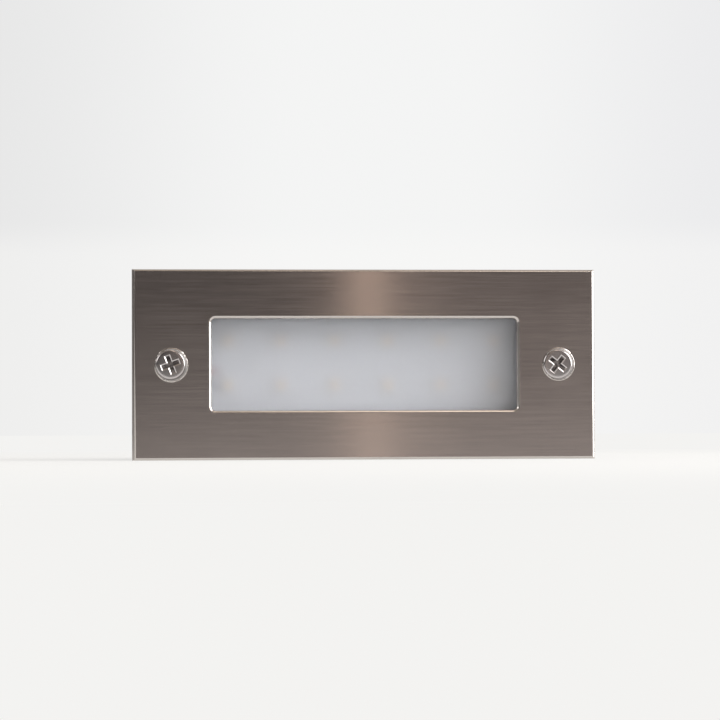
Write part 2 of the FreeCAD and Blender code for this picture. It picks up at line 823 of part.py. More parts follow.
def rear_cover():
    """The plate that closes the driver chamber, with grooves that help it shed heat."""
    cover = slab(housing_length, housing_height, housing_corner_radius, cover_front_y, cover_back_y)
    cover = cover.makeChamfer(cover_edge, edges_at(cover, cover_back_y))
    cover = cover.cut(rod(gland_thread_radius + snug, cover_front_y - through, cover_back_y + through))
    for i, j in corners:
        cover = cover.cut(rod(
            cover_screw_hole_radius, cover_front_y - through, cover_back_y + through, i * boss_x, j * boss_z
        ))
    for i in sides:
        middle_x = i * (gland_hex_flats / 2 + boss_x) / 2
        for k in range(cover_fin_slots):
            cover = cover.cut(block(
                cover_fin_slot_width, housing_height / 2, cover_back_y - cover_fin_slot_depth,
                cover_back_y + through, middle_x + (k - (cover_fin_slots - 1) / 2) * cover_fin_pitch,
            ))
    return cover


def rear_cover_screws():
    return Part.makeCompound([
        pan_screw(
            cover_screw_radius, cover_screw_length, cover_screw_head_radius, cover_screw_head_height,
            cover_back_y, i * boss_x, j * boss_z, cover_screw_head_radius / 4,
        )
        for i, j in corners
    ])


def gland_washer():
    ring = rod(gland_thread_radius + snug + gland_washer_width, cover_back_y, gland_hex_y)
    return ring.cut(rod(gland_thread_radius + snug, cover_back_y - through, gland_hex_y + through))


thread_end_y = cover_front_y - gland_nut_thickness - gland_thread_past_nut
neck_end_y = gland_hex_y + gland_hex_length + gland_neck_length


def gland_body():
    """The gland's body: a thread through the cover, a hexagon outside it and a neck for the cap."""
    body = rod(gland_thread_radius, thread_end_y, gland_hex_y)
    end, e = gland_hex_y + gland_hex_length, gland_hex_edge
    nut = hexagon(gland_hex_flats, gland_hex_y, end)
    widest = gland_hex_flats / math.sqrt(3) - e / 2
    round_off = turned([
        (0, gland_hex_y), (widest - e, gland_hex_y), (widest, gland_hex_y + e), (widest, end - e),
        (widest - e, end), (0, end),
    ])
    body = body.fuse(nut.common(round_off))
    body = body.fuse(rod(gland_neck_radius, gland_hex_y + gland_hex_length, neck_end_y))
    body = body.cut(rod(gland_bore_radius, thread_end_y - through, neck_end_y + through))
    return body.cut(rod(bush_radius + snug, bush_y - snug, neck_end_y + through))


def gland_bush():
    """The rubber bush that the cap squeezes onto the cable."""
    end = bush_y + bush_length
    bush = turned([
        (0, bush_y), (bush_radius - bush_lead_in, bush_y), (bush_radius, bush_y + bush_lead_in),
        (bush_radius, end - bush_nose), (bush_radius - bush_nose, end), (0, end),
    ])
    return bush.cut(rod(bush_bore_radius, bush_y - through, bush_y + bush_length + through))


def gland_cap():
    """The dome nut, with six flats, a rounded end and the mouth for the cable."""
    radius, end = gland_neck_radius + snug + cap_wall, cap_y + cap_length
    cap = turned([
        (0, cap_y), (radius, cap_y), (radius, end - cap_dome), (radius - cap_dome / 3, end - cap_dome / 3),
        (radius - cap_dome, end), (0, end),
    ])
    cap = cap.common(hexagon(2 * (radius - cap_flat_depth), cap_y, end))
    cap = cap.cut(rod(gland_neck_radius + snug, cap_y - through, neck_end_y + snug))
    cap = cap.cut(rod(bush_radius + snug, cap_y - through, end - cap_roof + snug))
    return cap.cut(rod(cap_mouth_radius, cap_y, end + through))


def gland_lock_nut():
    nut = hexagon(gland_hex_flats, cover_front_y - gland_nut_thickness, cover_front_y)
    return nut.cut(rod(
        gland_thread_radius + snug / 2, cover_front_y - gland_nut_thickness - through, cover_front_y + through
    ))


# ---------------------------------------------------------------- wall box
def box_half(distance, size, y):
    """Half the box's size at depth y, where it has narrowed by its draft."""
    return size / 2 - distance - box_draft * y / box_depth


def wall_box():
    """The moulded box that stays in the wall, with its screw posts, ribs and knock-outs."""
    shell = tapered(
        (box_length, box_height), box_corner_radius, 0,
        (box_length - 2 * box_draft, box_height - 2 * box_draft), box_depth,
    )
    shell = shell.makeFillet(box_back_edge_radius, edges_at(shell, box_depth))
    lean = 2 * box_draft * box_floor_y / box_depth
    hollow = tapered(
        (mouth_length, mouth_height), box_corner_radius - box_wall / 2, 0,
        (mouth_length - lean, mouth_height - lean), box_floor_y,
    )
    hollow = hollow.fuse(slab(
        mouth_length, mouth_height, box_corner_radius - box_wall / 2, -through, 0
    ))
    for side in sides:
        hollow = hollow.cut(rod(post_radius, flange_back_y, box_depth, side * screw_x))
        fillet_web = block(
            box_length / 2 - screw_x, post_radius, flange_back_y, box_depth,
            side * (screw_x + (box_length / 2 - screw_x) / 2),
        )
        hollow = hollow.cut(fillet_web)
    for i, j in corners:
        wall_z = box_half(box_wall, box_height, 0)
        rib = block(
            guide_rib_width, guide_rib_height + box_draft, guide_rib_start,
            guide_rib_start + guide_rib_length, i * guide_rib_spread,
            j * (wall_z - guide_rib_height + (guide_rib_height + box_draft) / 2),
        )
        hollow = hollow.cut(rib)
    shell = shell.cut(hollow)
    shell = shell.fuse(grip_ribs())
    for i, j in corners:
        shell = shell.cut(knockout_groove(i * knockout_spread, j))
    for side in sides:
        pad = Part.makeCone(
            fixing_pad_radius + fixing_pad_height, fixing_pad_radius, fixing_pad_height,
            Vector(side * fixing_hole_spread, box_floor_y, 0), Vector(0, -1, 0),
        )
        shell = shell.fuse(pad)
        shell = shell.cut(rod(
            fixing_hole_radius, box_floor_y - fixing_pad_height - through, box_depth + through,
            side * fixing_hole_spread,
        ))
        shell = shell.cut(rod(
            insert_radius + snug / 2, flange_back_y - through, flange_back_y + insert_length, side * screw_x
        ))
        shell = shell.cut(rod(
            post_hole_radius, flange_back_y, flange_back_y + insert_length + post_hole_beyond,
            side * screw_x,
        ))
    return shell.cut(rod(grommet_seat_radius + snug / 2, box_floor_y - through, box_depth + through))


def grip_ribs():
    """Ribs along the outside of the box that key it into mortar or filler, between the knock-outs."""
    ribs = []
    stop = box_depth - grip_rib_stop_short
    count = int((box_length / 2 - box_corner_radius) / grip_rib_pitch)
    for k in range(-count, count + 1):
        x = k * grip_rib_pitch
        if abs(abs(x) - knockout_spread) < knockout_radius + grip_rib_width:
            continue
        for j in sides:
            ribs.append(one_rib(x, j * box_height / 2, stop, False))
    for k in (-1, 0, 1):
        for i in sides:
            ribs.append(one_rib(i * box_length / 2, k * end_rib_pitch, stop, True))
    return ribs


def one_rib(x, z, stop, upright):
    """A rib with sloping ends, sunk into the wall that it stands on."""
    out, sunk = grip_rib_height, box_wall / 2 + box_draft
    side = math.copysign(1, x if upright else z)
    outline_points = [
        (grip_rib_start, -sunk), (grip_rib_start + out, out), (stop - out, out - box_draft), (stop, -sunk)
    ]
    points = []
    for y, height in outline_points:
        if upright:
            points.append(Vector(x + side * height, y, z - grip_rib_width / 2))
        else:
            points.append(Vector(x - grip_rib_width / 2, y, z + side * height))
    face = Part.Face(Part.makePolygon(points + points[:1]))
    return face.extrude(Vector(0, 0, grip_rib_width) if upright else Vector(grip_rib_width, 0, 0))


def knockout_groove(x, side):
    """The ring groove round a knock-out, cut into the box's top or bottom from outside."""
    surface = side * box_half(0, box_height, knockout_setback)
    start = surface + side * box_draft
    depth = knockout_groove_depth + box_draft
    centre = Vector(x, knockout_setback, start)
    ring = Part.makeCylinder(knockout_radius, depth, centre, Vector(0, 0, -side))
    core = Part.makeCylinder(knockout_radius - knockout_groove_width, depth, centre, Vector(0, 0, -side))
    return ring.cut(core)


def threaded_inserts():
    """The two brass inserts that the face screws bite into."""
    inserts = []
    for side in sides:
        a, b = flange_back_y, flange_back_y + insert_length
        mid, half, low = (a + b) / 2, insert_groove_width / 2, insert_radius - insert_groove_depth
        inserts.append(turned(
            [
                (insert_bore_radius, a), (insert_radius, a), (insert_radius, mid - half), (low, mid - half),
                (low, mid + half), (insert_radius, mid + half), (insert_radius, b - insert_edge),
                (insert_radius - insert_edge, b), (insert_bore_radius, b),
            ],
            side * screw_x,
        ))
    return Part.makeCompound(inserts)


def entry_grommet():
    """The rubber grommet in the back of the box that the supply cable comes through."""
    a, b, t, e = box_floor_y, box_depth, grommet_flange_thickness, grommet_edge
    bore, big, seat = grommet_bore_radius, grommet_flange_radius, grommet_seat_radius
    return turned([
        (bore, a - t), (big - e, a - t), (big, a - t + e), (big, a), (seat, a), (seat, b), (big, b),
        (big, b + t - e), (big - e, b + t), (bore, b + t),
    ])


# ---------------------------------------------------------------- the whole light
os.makedirs("parts", exist_ok=True)
save("faceplate", faceplate())
save("faceplate_gasket", faceplate_gasket())
save("face_screw_left", face_screw(-screw_x, screw_turn_left))
save("face_screw_right", face_screw(screw_x, screw_turn_right))
save("screw_o_ring_left", screw_o_ring(-screw_x))
save("screw_o_ring_right", screw_o_ring(screw_x))
save("diffuser_glass", diffuser_glass())
save("glass_seal", glass_seal())
save("reflector_frame", reflector_frame())
save("led_board", led_board())
save("led_packages", led_packages())
save("led_phosphors", led_phosphors())
save("led_lead_positive", led_lead(lead_zs[0]))
save("led_lead_negative", led_lead(lead_zs[1]))
save("lamp_housing", lamp_housing())
save("insulation_sheet", insulation_sheet())
save("driver_board", driver_board())
save("driver_board_screws", driver_board_screws())
save("terminal_block", terminal_block())
save("terminal_screws", terminal_screws())
save("safety_capacitor", safety_capacitor())
save("fuse_resistor", fuse_resistor())
save("filter_capacitor", filter_capacitor())
save("driver_inductor", driver_inductor())
save("bridge_rectifier", bridge_rectifier())
save("driver_chip", driver_chip())
save("small_parts", small_parts())
save("rear_cover_gasket", rear_cover_gasket())
save("rear_cover", rear_cover())
save("rear_cover_screws", rear_cover_screws())
save("gland_body", gland_body())
save("gland_washer", gland_washer())
save("gland_bush", gland_bush())
save("gland_cap", gland_cap())
save("gland_lock_nut", gland_lock_nut())
save("wall_box", wall_box())
save("threaded_inserts", threaded_inserts())
save("entry_grommet", entry_grommet())
print(f"faceplate {plate_length:.2f} x {plate_height:.2f}, window {window_length:.2f} x {window_height:.2f}")
print(f"wall box {box_length:.2f} x {box_height:.2f} x {box_depth:.2f}, screws {2 * screw_x:.2f} apart")
print(f"a face screw leaves its insert after {screw_turns} turns, {screw_turns * thread_pitch:.2f} mm")
print(f"the gland cap backs off {cap_turns * cap_thread_pitch:.2f} mm in {cap_turns} turns")
print(f"lamp unit ends at {cap_y + cap_length:.2f}, box floor at {box_floor_y:.2f}")
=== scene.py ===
# %% [markdown]
# # A recessed step light, dressed from its engineering model
# A step light sits in a wall beside a stair. What shows is a brushed steel faceplate with a frosted
# pane in its window and a screw at each end. Behind it are a cast housing with the LED board and the
# driver, and a plastic box that stays in the wall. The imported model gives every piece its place, and
# this lesson gives each one its finish. The faceplate and its two screws are modelled again, because
# their small rounded edges are what the eye sees first.

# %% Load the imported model
import json
import math
from contextlib import contextmanager

import bpy
from mathutils import Matrix, Vector

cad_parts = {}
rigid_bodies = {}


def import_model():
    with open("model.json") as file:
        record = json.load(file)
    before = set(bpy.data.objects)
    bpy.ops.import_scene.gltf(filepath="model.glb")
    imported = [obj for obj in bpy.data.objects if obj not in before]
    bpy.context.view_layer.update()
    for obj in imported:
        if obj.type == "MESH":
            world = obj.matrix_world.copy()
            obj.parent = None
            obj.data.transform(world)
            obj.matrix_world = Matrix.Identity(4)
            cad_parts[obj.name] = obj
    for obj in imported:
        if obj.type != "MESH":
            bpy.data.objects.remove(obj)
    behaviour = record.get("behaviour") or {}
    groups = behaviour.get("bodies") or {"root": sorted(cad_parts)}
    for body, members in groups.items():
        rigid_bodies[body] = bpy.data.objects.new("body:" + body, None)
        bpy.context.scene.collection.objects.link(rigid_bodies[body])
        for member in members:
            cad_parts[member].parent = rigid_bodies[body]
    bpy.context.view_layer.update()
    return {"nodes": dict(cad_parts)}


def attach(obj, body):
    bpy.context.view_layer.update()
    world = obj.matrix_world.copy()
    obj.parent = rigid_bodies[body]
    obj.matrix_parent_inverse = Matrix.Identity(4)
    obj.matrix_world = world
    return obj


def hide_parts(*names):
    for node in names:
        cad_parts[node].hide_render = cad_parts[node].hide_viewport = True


MM = 0.001

for left_over in list(bpy.data.objects):
    bpy.data.objects.remove(left_over)
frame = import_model()
nodes = frame["nodes"]


# %% [markdown]
# ## The camera
# The photograph was taken almost square on, from a little to the left of the faceplate's middle. The
# camera could be placed by eye, but four edges, two screws and twelve LEDs can be measured in the
# picture, so its place and its three angles were fitted to them. A long lens keeps the edges parallel.

# %% Camera
CAMERA_PLACE_MM = (-70.97, -708.64, -16.22)
CAMERA_YAW, CAMERA_PITCH, CAMERA_ROLL = 5.645, -1.394, -0.222
CAMERA_LENS, CAMERA_SENSOR = 150.0, 36.0
CAMERA_NEAREST = 0.01

camera_data = bpy.data.cameras.new("photograph_camera")
camera_data.lens, camera_data.sensor_width = CAMERA_LENS, CAMERA_SENSOR
camera_data.clip_start = CAMERA_NEAREST
camera = bpy.data.objects.new("photograph_camera", camera_data)
bpy.context.scene.collection.objects.link(camera)
seen_from_world = (
    Matrix.Rotation(math.radians(CAMERA_ROLL), 3, "Y")
    @ Matrix.Rotation(math.radians(CAMERA_PITCH), 3, "X")
    @ Matrix.Rotation(math.radians(CAMERA_YAW), 3, "Z")
)
looks_along_y = Matrix.Rotation(math.radians(90), 3, "X")
camera.matrix_world = (
    Matrix.Translation(Vector(CAMERA_PLACE_MM) * MM)
    @ (seen_from_world.transposed() @ looks_along_y).to_4x4()
)
bpy.context.scene.camera = camera
bpy.context.scene.view_settings.view_transform = "Standard"
print("camera at", [round(v, 3) for v in camera.location], "lens", CAMERA_LENS)

# %% [markdown]
# ## Selecting by place
# Operators work on what is selected. By hand one clicks on faces and edges; in a script a short test
# on their place or direction does the clicking, here in millimetres. The helper leaves everything else
# alone, opens edit mode, and closes it again when the step is done.

# %% Helpers for edit mode
def only(piece):
    """Selects one object and nothing else, and makes it active."""
    bpy.ops.object.select_all(action="DESELECT")
    piece.select_set(True)
    bpy.context.view_layer.objects.active = piece


@contextmanager
def editing(piece, kind, wanted):
    """Edit mode on one piece, with the faces, edges or verts that pass the test selected."""
    only(piece)
    mesh = piece.data
    bpy.context.tool_settings.mesh_select_mode = (kind == "VERT", kind == "EDGE", kind == "FACE")
    for element in [*mesh.vertices, *mesh.edges, *mesh.polygons]:
        element.select = False
    at = [v.co / MM for v in mesh.vertices]
    if kind == "VERT":
        for v in mesh.vertices:
            v.select = bool(wanted(at[v.index]))
    elif kind == "EDGE":
        for e in mesh.edges:
            a, b = at[e.vertices[0]], at[e.vertices[1]]
            e.select = bool(wanted((a + b) / 2, (b - a).normalized()))
    else:
        for f in mesh.polygons:
            f.select = bool(wanted(f.center / MM, f.normal))
    bpy.ops.object.mode_set(mode="EDIT")
    yield
    bpy.ops.object.mode_set(mode="OBJECT")


print("edit mode helpers ready")

# %% [markdown]
# ## Blocks, Booleans and shading
# Most machined shapes start as a block, lose material to a tool, and are then shaded smooth. Each new
# object is settled, which puts its place into its mesh and leaves the object at the origin. A Boolean
# modifier does the cutting, because it keeps the tool's rounded corners. Smooth shading breaks at sharp
# edges, and weighted normals keep the large flat faces from looking puffed up beside a rounded edge.

# %% Helpers for blocks, Booleans and shading
def settle(piece, name=None):
    """Puts the object's place into its mesh, so that the object sits at the origin."""
    only(piece)
    bpy.ops.object.transform_apply(location=True, rotation=True, scale=True)
    if name:
        piece.name = piece.data.name = name
    return piece


def block(name, size, middle):
    """A box to start from. Sizes and places are in millimetres."""
    bpy.ops.object.select_all(action="DESELECT")
    bpy.ops.mesh.primitive_cube_add(size=1, location=Vector(middle) * MM, scale=Vector(size) * MM)
    return settle(bpy.context.object, name)


def cut_or_join(piece, tool, operation):
    """A Boolean modifier, applied; the tool is deleted afterwards."""
    only(piece)
    step = piece.modifiers.new(operation.lower(), "BOOLEAN")
    step.operation, step.object, step.solver = operation, tool, "EXACT"
    bpy.ops.object.modifier_apply(modifier=step.name)
    bpy.data.objects.remove(tool)


def smooth(piece, degrees):
    """Smooth shading, broken at edges sharper than the angle, with flat faces kept flat."""
    only(piece)
    bpy.ops.object.shade_smooth_by_angle(angle=math.radians(degrees))
    step = piece.modifiers.new("flat faces stay flat", "WEIGHTED_NORMAL")
    step.keep_sharp = True
    bpy.ops.object.modifier_apply(modifier=step.name)


print("shaping helpers ready")

# %% [markdown]
# ## Lathe work by hand
# Screw heads and cones are turned parts. A circle is extruded along the axis and resized at each step,
# which is the modeller's lathe. It gives clean rings of faces, and a Spin would need its seam merged.

# %% Turned bodies
def turned(name, rings, sides=48, middle=(0.0, 0.0)):
    """Rings of (place along Y, radius), in millimetres, extruded one from another and closed."""
    first_y, first_radius = rings[0]
    x, z = middle
    bpy.ops.object.select_all(action="DESELECT")
    bpy.ops.mesh.primitive_circle_add(
        vertices=sides, radius=first_radius * MM, fill_type="NGON",
        location=(x * MM, first_y * MM, z * MM), rotation=(math.radians(90), 0, 0),
    )
    piece = settle(bpy.context.object, name)
    with editing(piece, "FACE", lambda c, n: True):
        for (y0, r0), (y1, r1) in zip(rings, rings[1:]):
            bpy.ops.mesh.extrude_region_move(
                TRANSFORM_OT_translate={"value": (0, (y1 - y0) * MM, 0)}
            )
            bpy.ops.transform.resize(
                value=(r1 / r0, 1, r1 / r0), center_override=(x * MM, y1 * MM, z * MM)
            )
        bpy.ops.mesh.select_all(action="SELECT")
        bpy.ops.mesh.normals_make_consistent(inside=False)
    return piece


print("lathe ready")

# %% [markdown]
# ## The faceplate
# The plate is cut from 2 mm brushed stainless sheet. Its window has rounded corners, and the front
# arrises are rounded over, outside and round the window: those thin rounded edges catch the light and
# draw the bright lines in the photograph. A block is cut by a window tool, and then all the front edges
# are bevelled together, so that one bevel setting gives every arris the same rounding.

# %% Faceplate blank and window
PLATE_SIZE = (110.0, 2.0, 45.0)
PLATE_FRONT, PLATE_BACK = -3.0, -1.0
WINDOW_SIZE = (72.6, 21.6)
WINDOW_TOOL_DEPTH = 6.0
WINDOW_CORNER, CORNER_SEGMENTS = 0.95, 8
ARRIS, ARRIS_SEGMENTS = 0.72, 6
ALONG_AXIS = 0.9
TOUCHING = 0.01


def on_front_arris(c, d):
    """True on the front edges of the plate, outside and round the window."""
    past_plate = max(abs(c.x) - PLATE_SIZE[0] / 2, abs(c.z) - PLATE_SIZE[2] / 2)
    past_window = max(abs(c.x) - WINDOW_SIZE[0] / 2, abs(c.z) - WINDOW_SIZE[1] / 2)
    on_front = abs(c.y - PLATE_FRONT) < TOUCHING
    return on_front and (past_plate > -TOUCHING or past_window < TOUCHING)


faceplate = block("brushed_faceplate", PLATE_SIZE, (0, (PLATE_FRONT + PLATE_BACK) / 2, 0))
window_tool = block(
    "window_tool", (WINDOW_SIZE[0], WINDOW_TOOL_DEPTH, WINDOW_SIZE[1]), (0, PLATE_FRONT, 0)
)
with editing(window_tool, "EDGE", lambda c, d: abs(d.y) > ALONG_AXIS):
    bpy.ops.mesh.bevel(offset=WINDOW_CORNER * MM, segments=CORNER_SEGMENTS, profile=0.5)
cut_or_join(faceplate, window_tool, "DIFFERENCE")
with editing(faceplate, "EDGE", on_front_arris):
    bpy.ops.mesh.bevel(
        offset=ARRIS * MM, segments=ARRIS_SEGMENTS, profile=0.5, clamp_overlap=False
    )
print("faceplate blank:", len(faceplate.data.polygons), "faces")

# %% [markdown]
# ## Countersunk holes
# Cutting a countersink throws up a low lip round it, and a shallow seat leads from the lip down to the
# cone. The lip draws the bright ring round each screw. The holes sit a little off their screws, and the
# left one is the wider of the two, as in the photograph. A turned ring is joined on for the lip, a
# turned tool cuts the seat, the cone and the hole, and a small bevel breaks the lip's sharp crest.

# %% Tools for the countersunk holes
SCREW_X = 46.0
HOLE_RADIUS = 2.8
SINK_SIDES = 64
LIP_HEIGHT, LIP_WIDTH, LIP_ROOT = 0.12, 0.28, 0.3
LIP_CREST = PLATE_FRONT - LIP_HEIGHT
SEAT_WIDTH, SEAT_DROP = 0.45, 0.16
TOOL_OVERRUN = 0.5


def raised_lip(x, z, radius):
    """A low ring that stands on the plate round a countersink."""
    rings = [
        (PLATE_FRONT + LIP_ROOT, radius + LIP_WIDTH),
        (PLATE_FRONT, radius + LIP_WIDTH),
        (LIP_CREST, radius),
    ]
    return turned("lip", rings, SINK_SIDES, (x, z))


def sink_tool(x, z, radius):
    """The tool that cuts the seat, the cone and the hole."""
    rings = [
        (LIP_CREST - TOOL_OVERRUN * SEAT_DROP / SEAT_WIDTH, radius + TOOL_OVERRUN),
        (LIP_CREST + SEAT_DROP, radius - SEAT_WIDTH),
        (LIP_CREST + SEAT_DROP + radius - SEAT_WIDTH - HOLE_RADIUS, HOLE_RADIUS),
        (PLATE_BACK + TOOL_OVERRUN, HOLE_RADIUS),
    ]
    return turned("sink_tool", rings, SINK_SIDES, (x, z))


print("lip crest at", LIP_CREST, "mm")

# %% Cut the holes and deburr their lips
SINKS = [(-SCREW_X + 0.22, -0.12, 3.80), (SCREW_X + 0.25, 0.0, 3.70)]
LIP_DEBURR, DEBURR_SEGMENTS, DEBURR_REACH = 0.07, 3, 0.02


def on_crest(c, d):
    """True on the circle where a countersink meets its raised lip."""
    off_crest = min(abs(math.hypot(c.x - x, c.z - z) - radius) for x, z, radius in SINKS)
    return abs(c.y - LIP_CREST) < TOUCHING and off_crest < DEBURR_REACH


for sink in SINKS:
    cut_or_join(faceplate, raised_lip(*sink), "UNION")
    cut_or_join(faceplate, sink_tool(*sink), "DIFFERENCE")
with editing(faceplate, "EDGE", on_crest):
    bpy.ops.mesh.bevel(
        offset=LIP_DEBURR * MM, segments=DEBURR_SEGMENTS, profile=0.5, clamp_overlap=False
    )
print("faceplate with its holes:", len(faceplate.data.polygons), "faces")

# %% [markdown]
# ## Shading and a UV map for the plate
# The scratches of the brushing run along the plate, and the shader needs to know that direction at
# every face. A UV map tells it. A cube projection lays one without distortion, and without scaling the
# map to fit a square, so that U runs along X on all the front faces.

# %% Finish the faceplate's mesh
PLATE_SMOOTH = 35.0
UV_SPAN = 0.1

smooth(faceplate, PLATE_SMOOTH)
with editing(faceplate, "FACE", lambda c, n: True):
    bpy.ops.uv.cube_project(
        cube_size=UV_SPAN, correct_aspect=False, clip_to_bounds=False, scale_to_bounds=False
    )
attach(faceplate, "lamp_unit")
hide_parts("faceplate")
print("faceplate:", [round(v / MM, 2) for v in faceplate.dimensions], "mm")

# %% [markdown]
# ## The screws' thread
# Each face screw is an M4 raised countersunk screw, modelled once on the axis. A thread could be a
# texture, but it shows in outline when the screw is drawn out. So one pitch of its profile is drawn
# point by point, wound along the axis by a Screw modifier, and capped at both ends.

# %% One pitch of the thread
THREAD_CREST, THREAD_ROOT, THREAD_PITCH = 1.95, 1.55, 0.7
THREAD_PROFILE = [
    (THREAD_ROOT, 0.0), (THREAD_ROOT, 0.06), (THREAD_CREST, 0.31), (THREAD_CREST, 0.39),
    (THREAD_ROOT, 0.64), (THREAD_ROOT, THREAD_PITCH),
]

bpy.ops.object.select_all(action="DESELECT")
bpy.ops.mesh.primitive_plane_add(size=MM)
thread = settle(bpy.context.object, "thread")
with editing(thread, "VERT", lambda c: True):
    bpy.ops.mesh.merge(type="CENTER")
    bpy.ops.transform.translate(value=(THREAD_ROOT * MM, -MM, 0))
    for (r0, y0), (r1, y1) in zip(THREAD_PROFILE, THREAD_PROFILE[1:]):
        bpy.ops.mesh.extrude_region_move(
            TRANSFORM_OT_translate={"value": ((r1 - r0) * MM, (y1 - y0) * MM, 0)}
        )
print("thread profile:", len(thread.data.vertices), "points")

# %% Wind the thread and cap it
THREAD_TURNS, THREAD_STEPS = 18, 24
MERGE_WITHIN = 1e-6

winding = thread.modifiers.new("winding", "SCREW")
winding.axis, winding.angle, winding.screw_offset = "Y", math.tau, THREAD_PITCH * MM
winding.steps = winding.render_steps = THREAD_STEPS
winding.iterations = THREAD_TURNS
winding.use_merge_vertices, winding.merge_threshold = True, MERGE_WITHIN
only(thread)
bpy.ops.object.modifier_apply(modifier=winding.name)
with editing(thread, "VERT", lambda c: True):
    bpy.ops.mesh.remove_doubles(threshold=MERGE_WITHIN)
    bpy.ops.mesh.select_all(action="DESELECT")
    bpy.ops.mesh.select_non_manifold()
    bpy.ops.mesh.edge_face_add()
    bpy.ops.mesh.select_all(action="SELECT")
    bpy.ops.mesh.normals_make_consistent(inside=False)
print("thread:", len(thread.data.polygons), "faces", [round(v / MM, 2) for v in thread.dimensions])

# %% [markdown]
# ## The screws' head
# The crown is nearly flat with a tight rounded shoulder, which is why a bright ring runs round it. The
# head and its neck are turned in one piece. A turned envelope trims the thread and gives it its
# chamfered tip, and the two are joined.

# %% Head, neck and tip
NECK_END, NECK_TAPER = 0.6, 0.3
SCREW_TIP, TIP_CHAMFER = 10.5, 0.5
THREAD_HIDDEN, ENVELOPE_GAP = 0.4, 0.05
HEAD_RADIUS, HEAD_CONE_RADIUS = 3.45, 2.95
HEAD_CONE_Y, HEAD_RIM_Y, HEAD_FOOT_Y = -2.98, -3.08, -1.98
CROWN = [
    (-3.28, 3.45), (-3.38, 3.43), (-3.46, 3.37), (-3.52, 3.28), (-3.55, 3.17), (-3.565, 3.04),
    (-3.575, 2.75), (-3.585, 2.20), (-3.595, 1.40), (-3.60, 0.70), (-3.602, 0.15),
]

envelope = turned(
    "tip_envelope",
    [
        (NECK_END - THREAD_HIDDEN, THREAD_CREST + ENVELOPE_GAP),
        (SCREW_TIP - TIP_CHAMFER, THREAD_CREST + ENVELOPE_GAP),
        (SCREW_TIP, THREAD_CREST - TIP_CHAMFER),
    ],
)
cut_or_join(thread, envelope, "INTERSECT")
face_screw = turned(
    "left_face_screw",
    [
        (NECK_END + NECK_TAPER, THREAD_ROOT), (NECK_END, THREAD_CREST),
        (HEAD_FOOT_Y, THREAD_CREST), (HEAD_CONE_Y, HEAD_CONE_RADIUS),
        (HEAD_RIM_Y, HEAD_RADIUS), *CROWN,
    ],
)
cut_or_join(face_screw, thread, "UNION")
print("screw before its recess:", len(face_screw.data.polygons), "faces")

# %% [markdown]
# ## The cross recess
# A cross recess is two tapered wings and a pointed core. Each wing is a block whose deep end is drawn
# in, with its corners bevelled. A second, wider and much shallower pair of wedges opens the mouth, so
# that a light bevel runs along every wing, as on the worn screws of the photograph.

# %% Cross recess
RECESS_TOP, RECESS_FLOOR = -4.0, -1.75
WING_TOP, WING_FLOOR = (5.05, 1.12), (1.7, 0.55)
MOUTH_TOP, MOUTH_FLOOR = -3.75, -3.40
MOUTH_WIDE, MOUTH_NARROW = (5.15, 1.96), (4.15, 0.96)
WING_EDGE, WING_EDGE_SEGMENTS, WING_SLOPE = 0.12, 2, 0.5
CORE_RADIUS, CORE_FLOOR_RADIUS, CORE_TIP_RADIUS = 0.9, 0.35, 0.05
CORE_TIP_DROP, CORE_SIDES = 0.2, 32


def wedge(turn, top, floor, wide, narrow):
    """One tapered wing of the recess, turned about the screw's axis."""
    piece = block("wedge", (wide[0], floor - top, wide[1]), (0, (top + floor) / 2, 0))
    with editing(piece, "FACE", lambda c, n: n.y > ALONG_AXIS):
        bpy.ops.transform.resize(
            value=(narrow[0] / wide[0], 1, narrow[1] / wide[1]),
            center_override=(0, floor * MM, 0),
        )
    with editing(piece, "EDGE", lambda c, d: abs(d.y) > WING_SLOPE):
        bpy.ops.mesh.bevel(
            offset=WING_EDGE * MM, segments=WING_EDGE_SEGMENTS, clamp_overlap=False
        )
    piece.rotation_euler.y = math.radians(turn)
    return settle(piece)


recess = turned(
    "recess_core",
    [
        (RECESS_TOP, CORE_RADIUS), (RECESS_FLOOR, CORE_FLOOR_RADIUS),
        (RECESS_FLOOR + CORE_TIP_DROP, CORE_TIP_RADIUS),
    ],
    sides=CORE_SIDES,
)
for turn in (0, 90):
    cut_or_join(recess, wedge(turn, RECESS_TOP, RECESS_FLOOR, WING_TOP, WING_FLOOR), "UNION")
    cut_or_join(recess, wedge(turn, MOUTH_TOP, MOUTH_FLOOR, MOUTH_WIDE, MOUTH_NARROW), "UNION")
cut_or_join(face_screw, recess, "DIFFERENCE")
print("screw with its recess:", len(face_screw.data.polygons), "faces")

# %% [markdown]
# ## Two screws in their holes
# The finished screw is copied with its own mesh. Each one is turned to the angle at which the
# photograph shows its cross and moved into its hole, and its place goes into the mesh.

# %% Two screws in their holes
SCREW_TURNS = {"left": 20.0, "right": 52.0}
SCREW_SMOOTH = 32.0

smooth(face_screw, SCREW_SMOOTH)
right_screw = face_screw.copy()
right_screw.data = face_screw.data.copy()
right_screw.name = right_screw.data.name = "right_face_screw"
bpy.context.scene.collection.objects.link(right_screw)
for side, piece in (("left", face_screw), ("right", right_screw)):
    piece.location.x = (-SCREW_X if side == "left" else SCREW_X) * MM
    piece.rotation_euler.y = -math.radians(SCREW_TURNS[side])
    settle(piece)
    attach(piece, f"{side}_screw")
    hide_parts(f"face_screw_{side}")
    print(piece.name, [round(v / MM, 2) for v in piece.dimensions])

# %% [markdown]
# ## Shared surface effects
# Every finish here has fine detail that is the same kind of thing on several pieces: lines left by a
# brushing belt, the fine grain of a mould, the skin of a casting, and broad uneven patches from
# handling. Each is built once as a node group with its own sockets, and a material sets its values. A
# group hands out only masks and heights, so that the shader itself stays in the material.

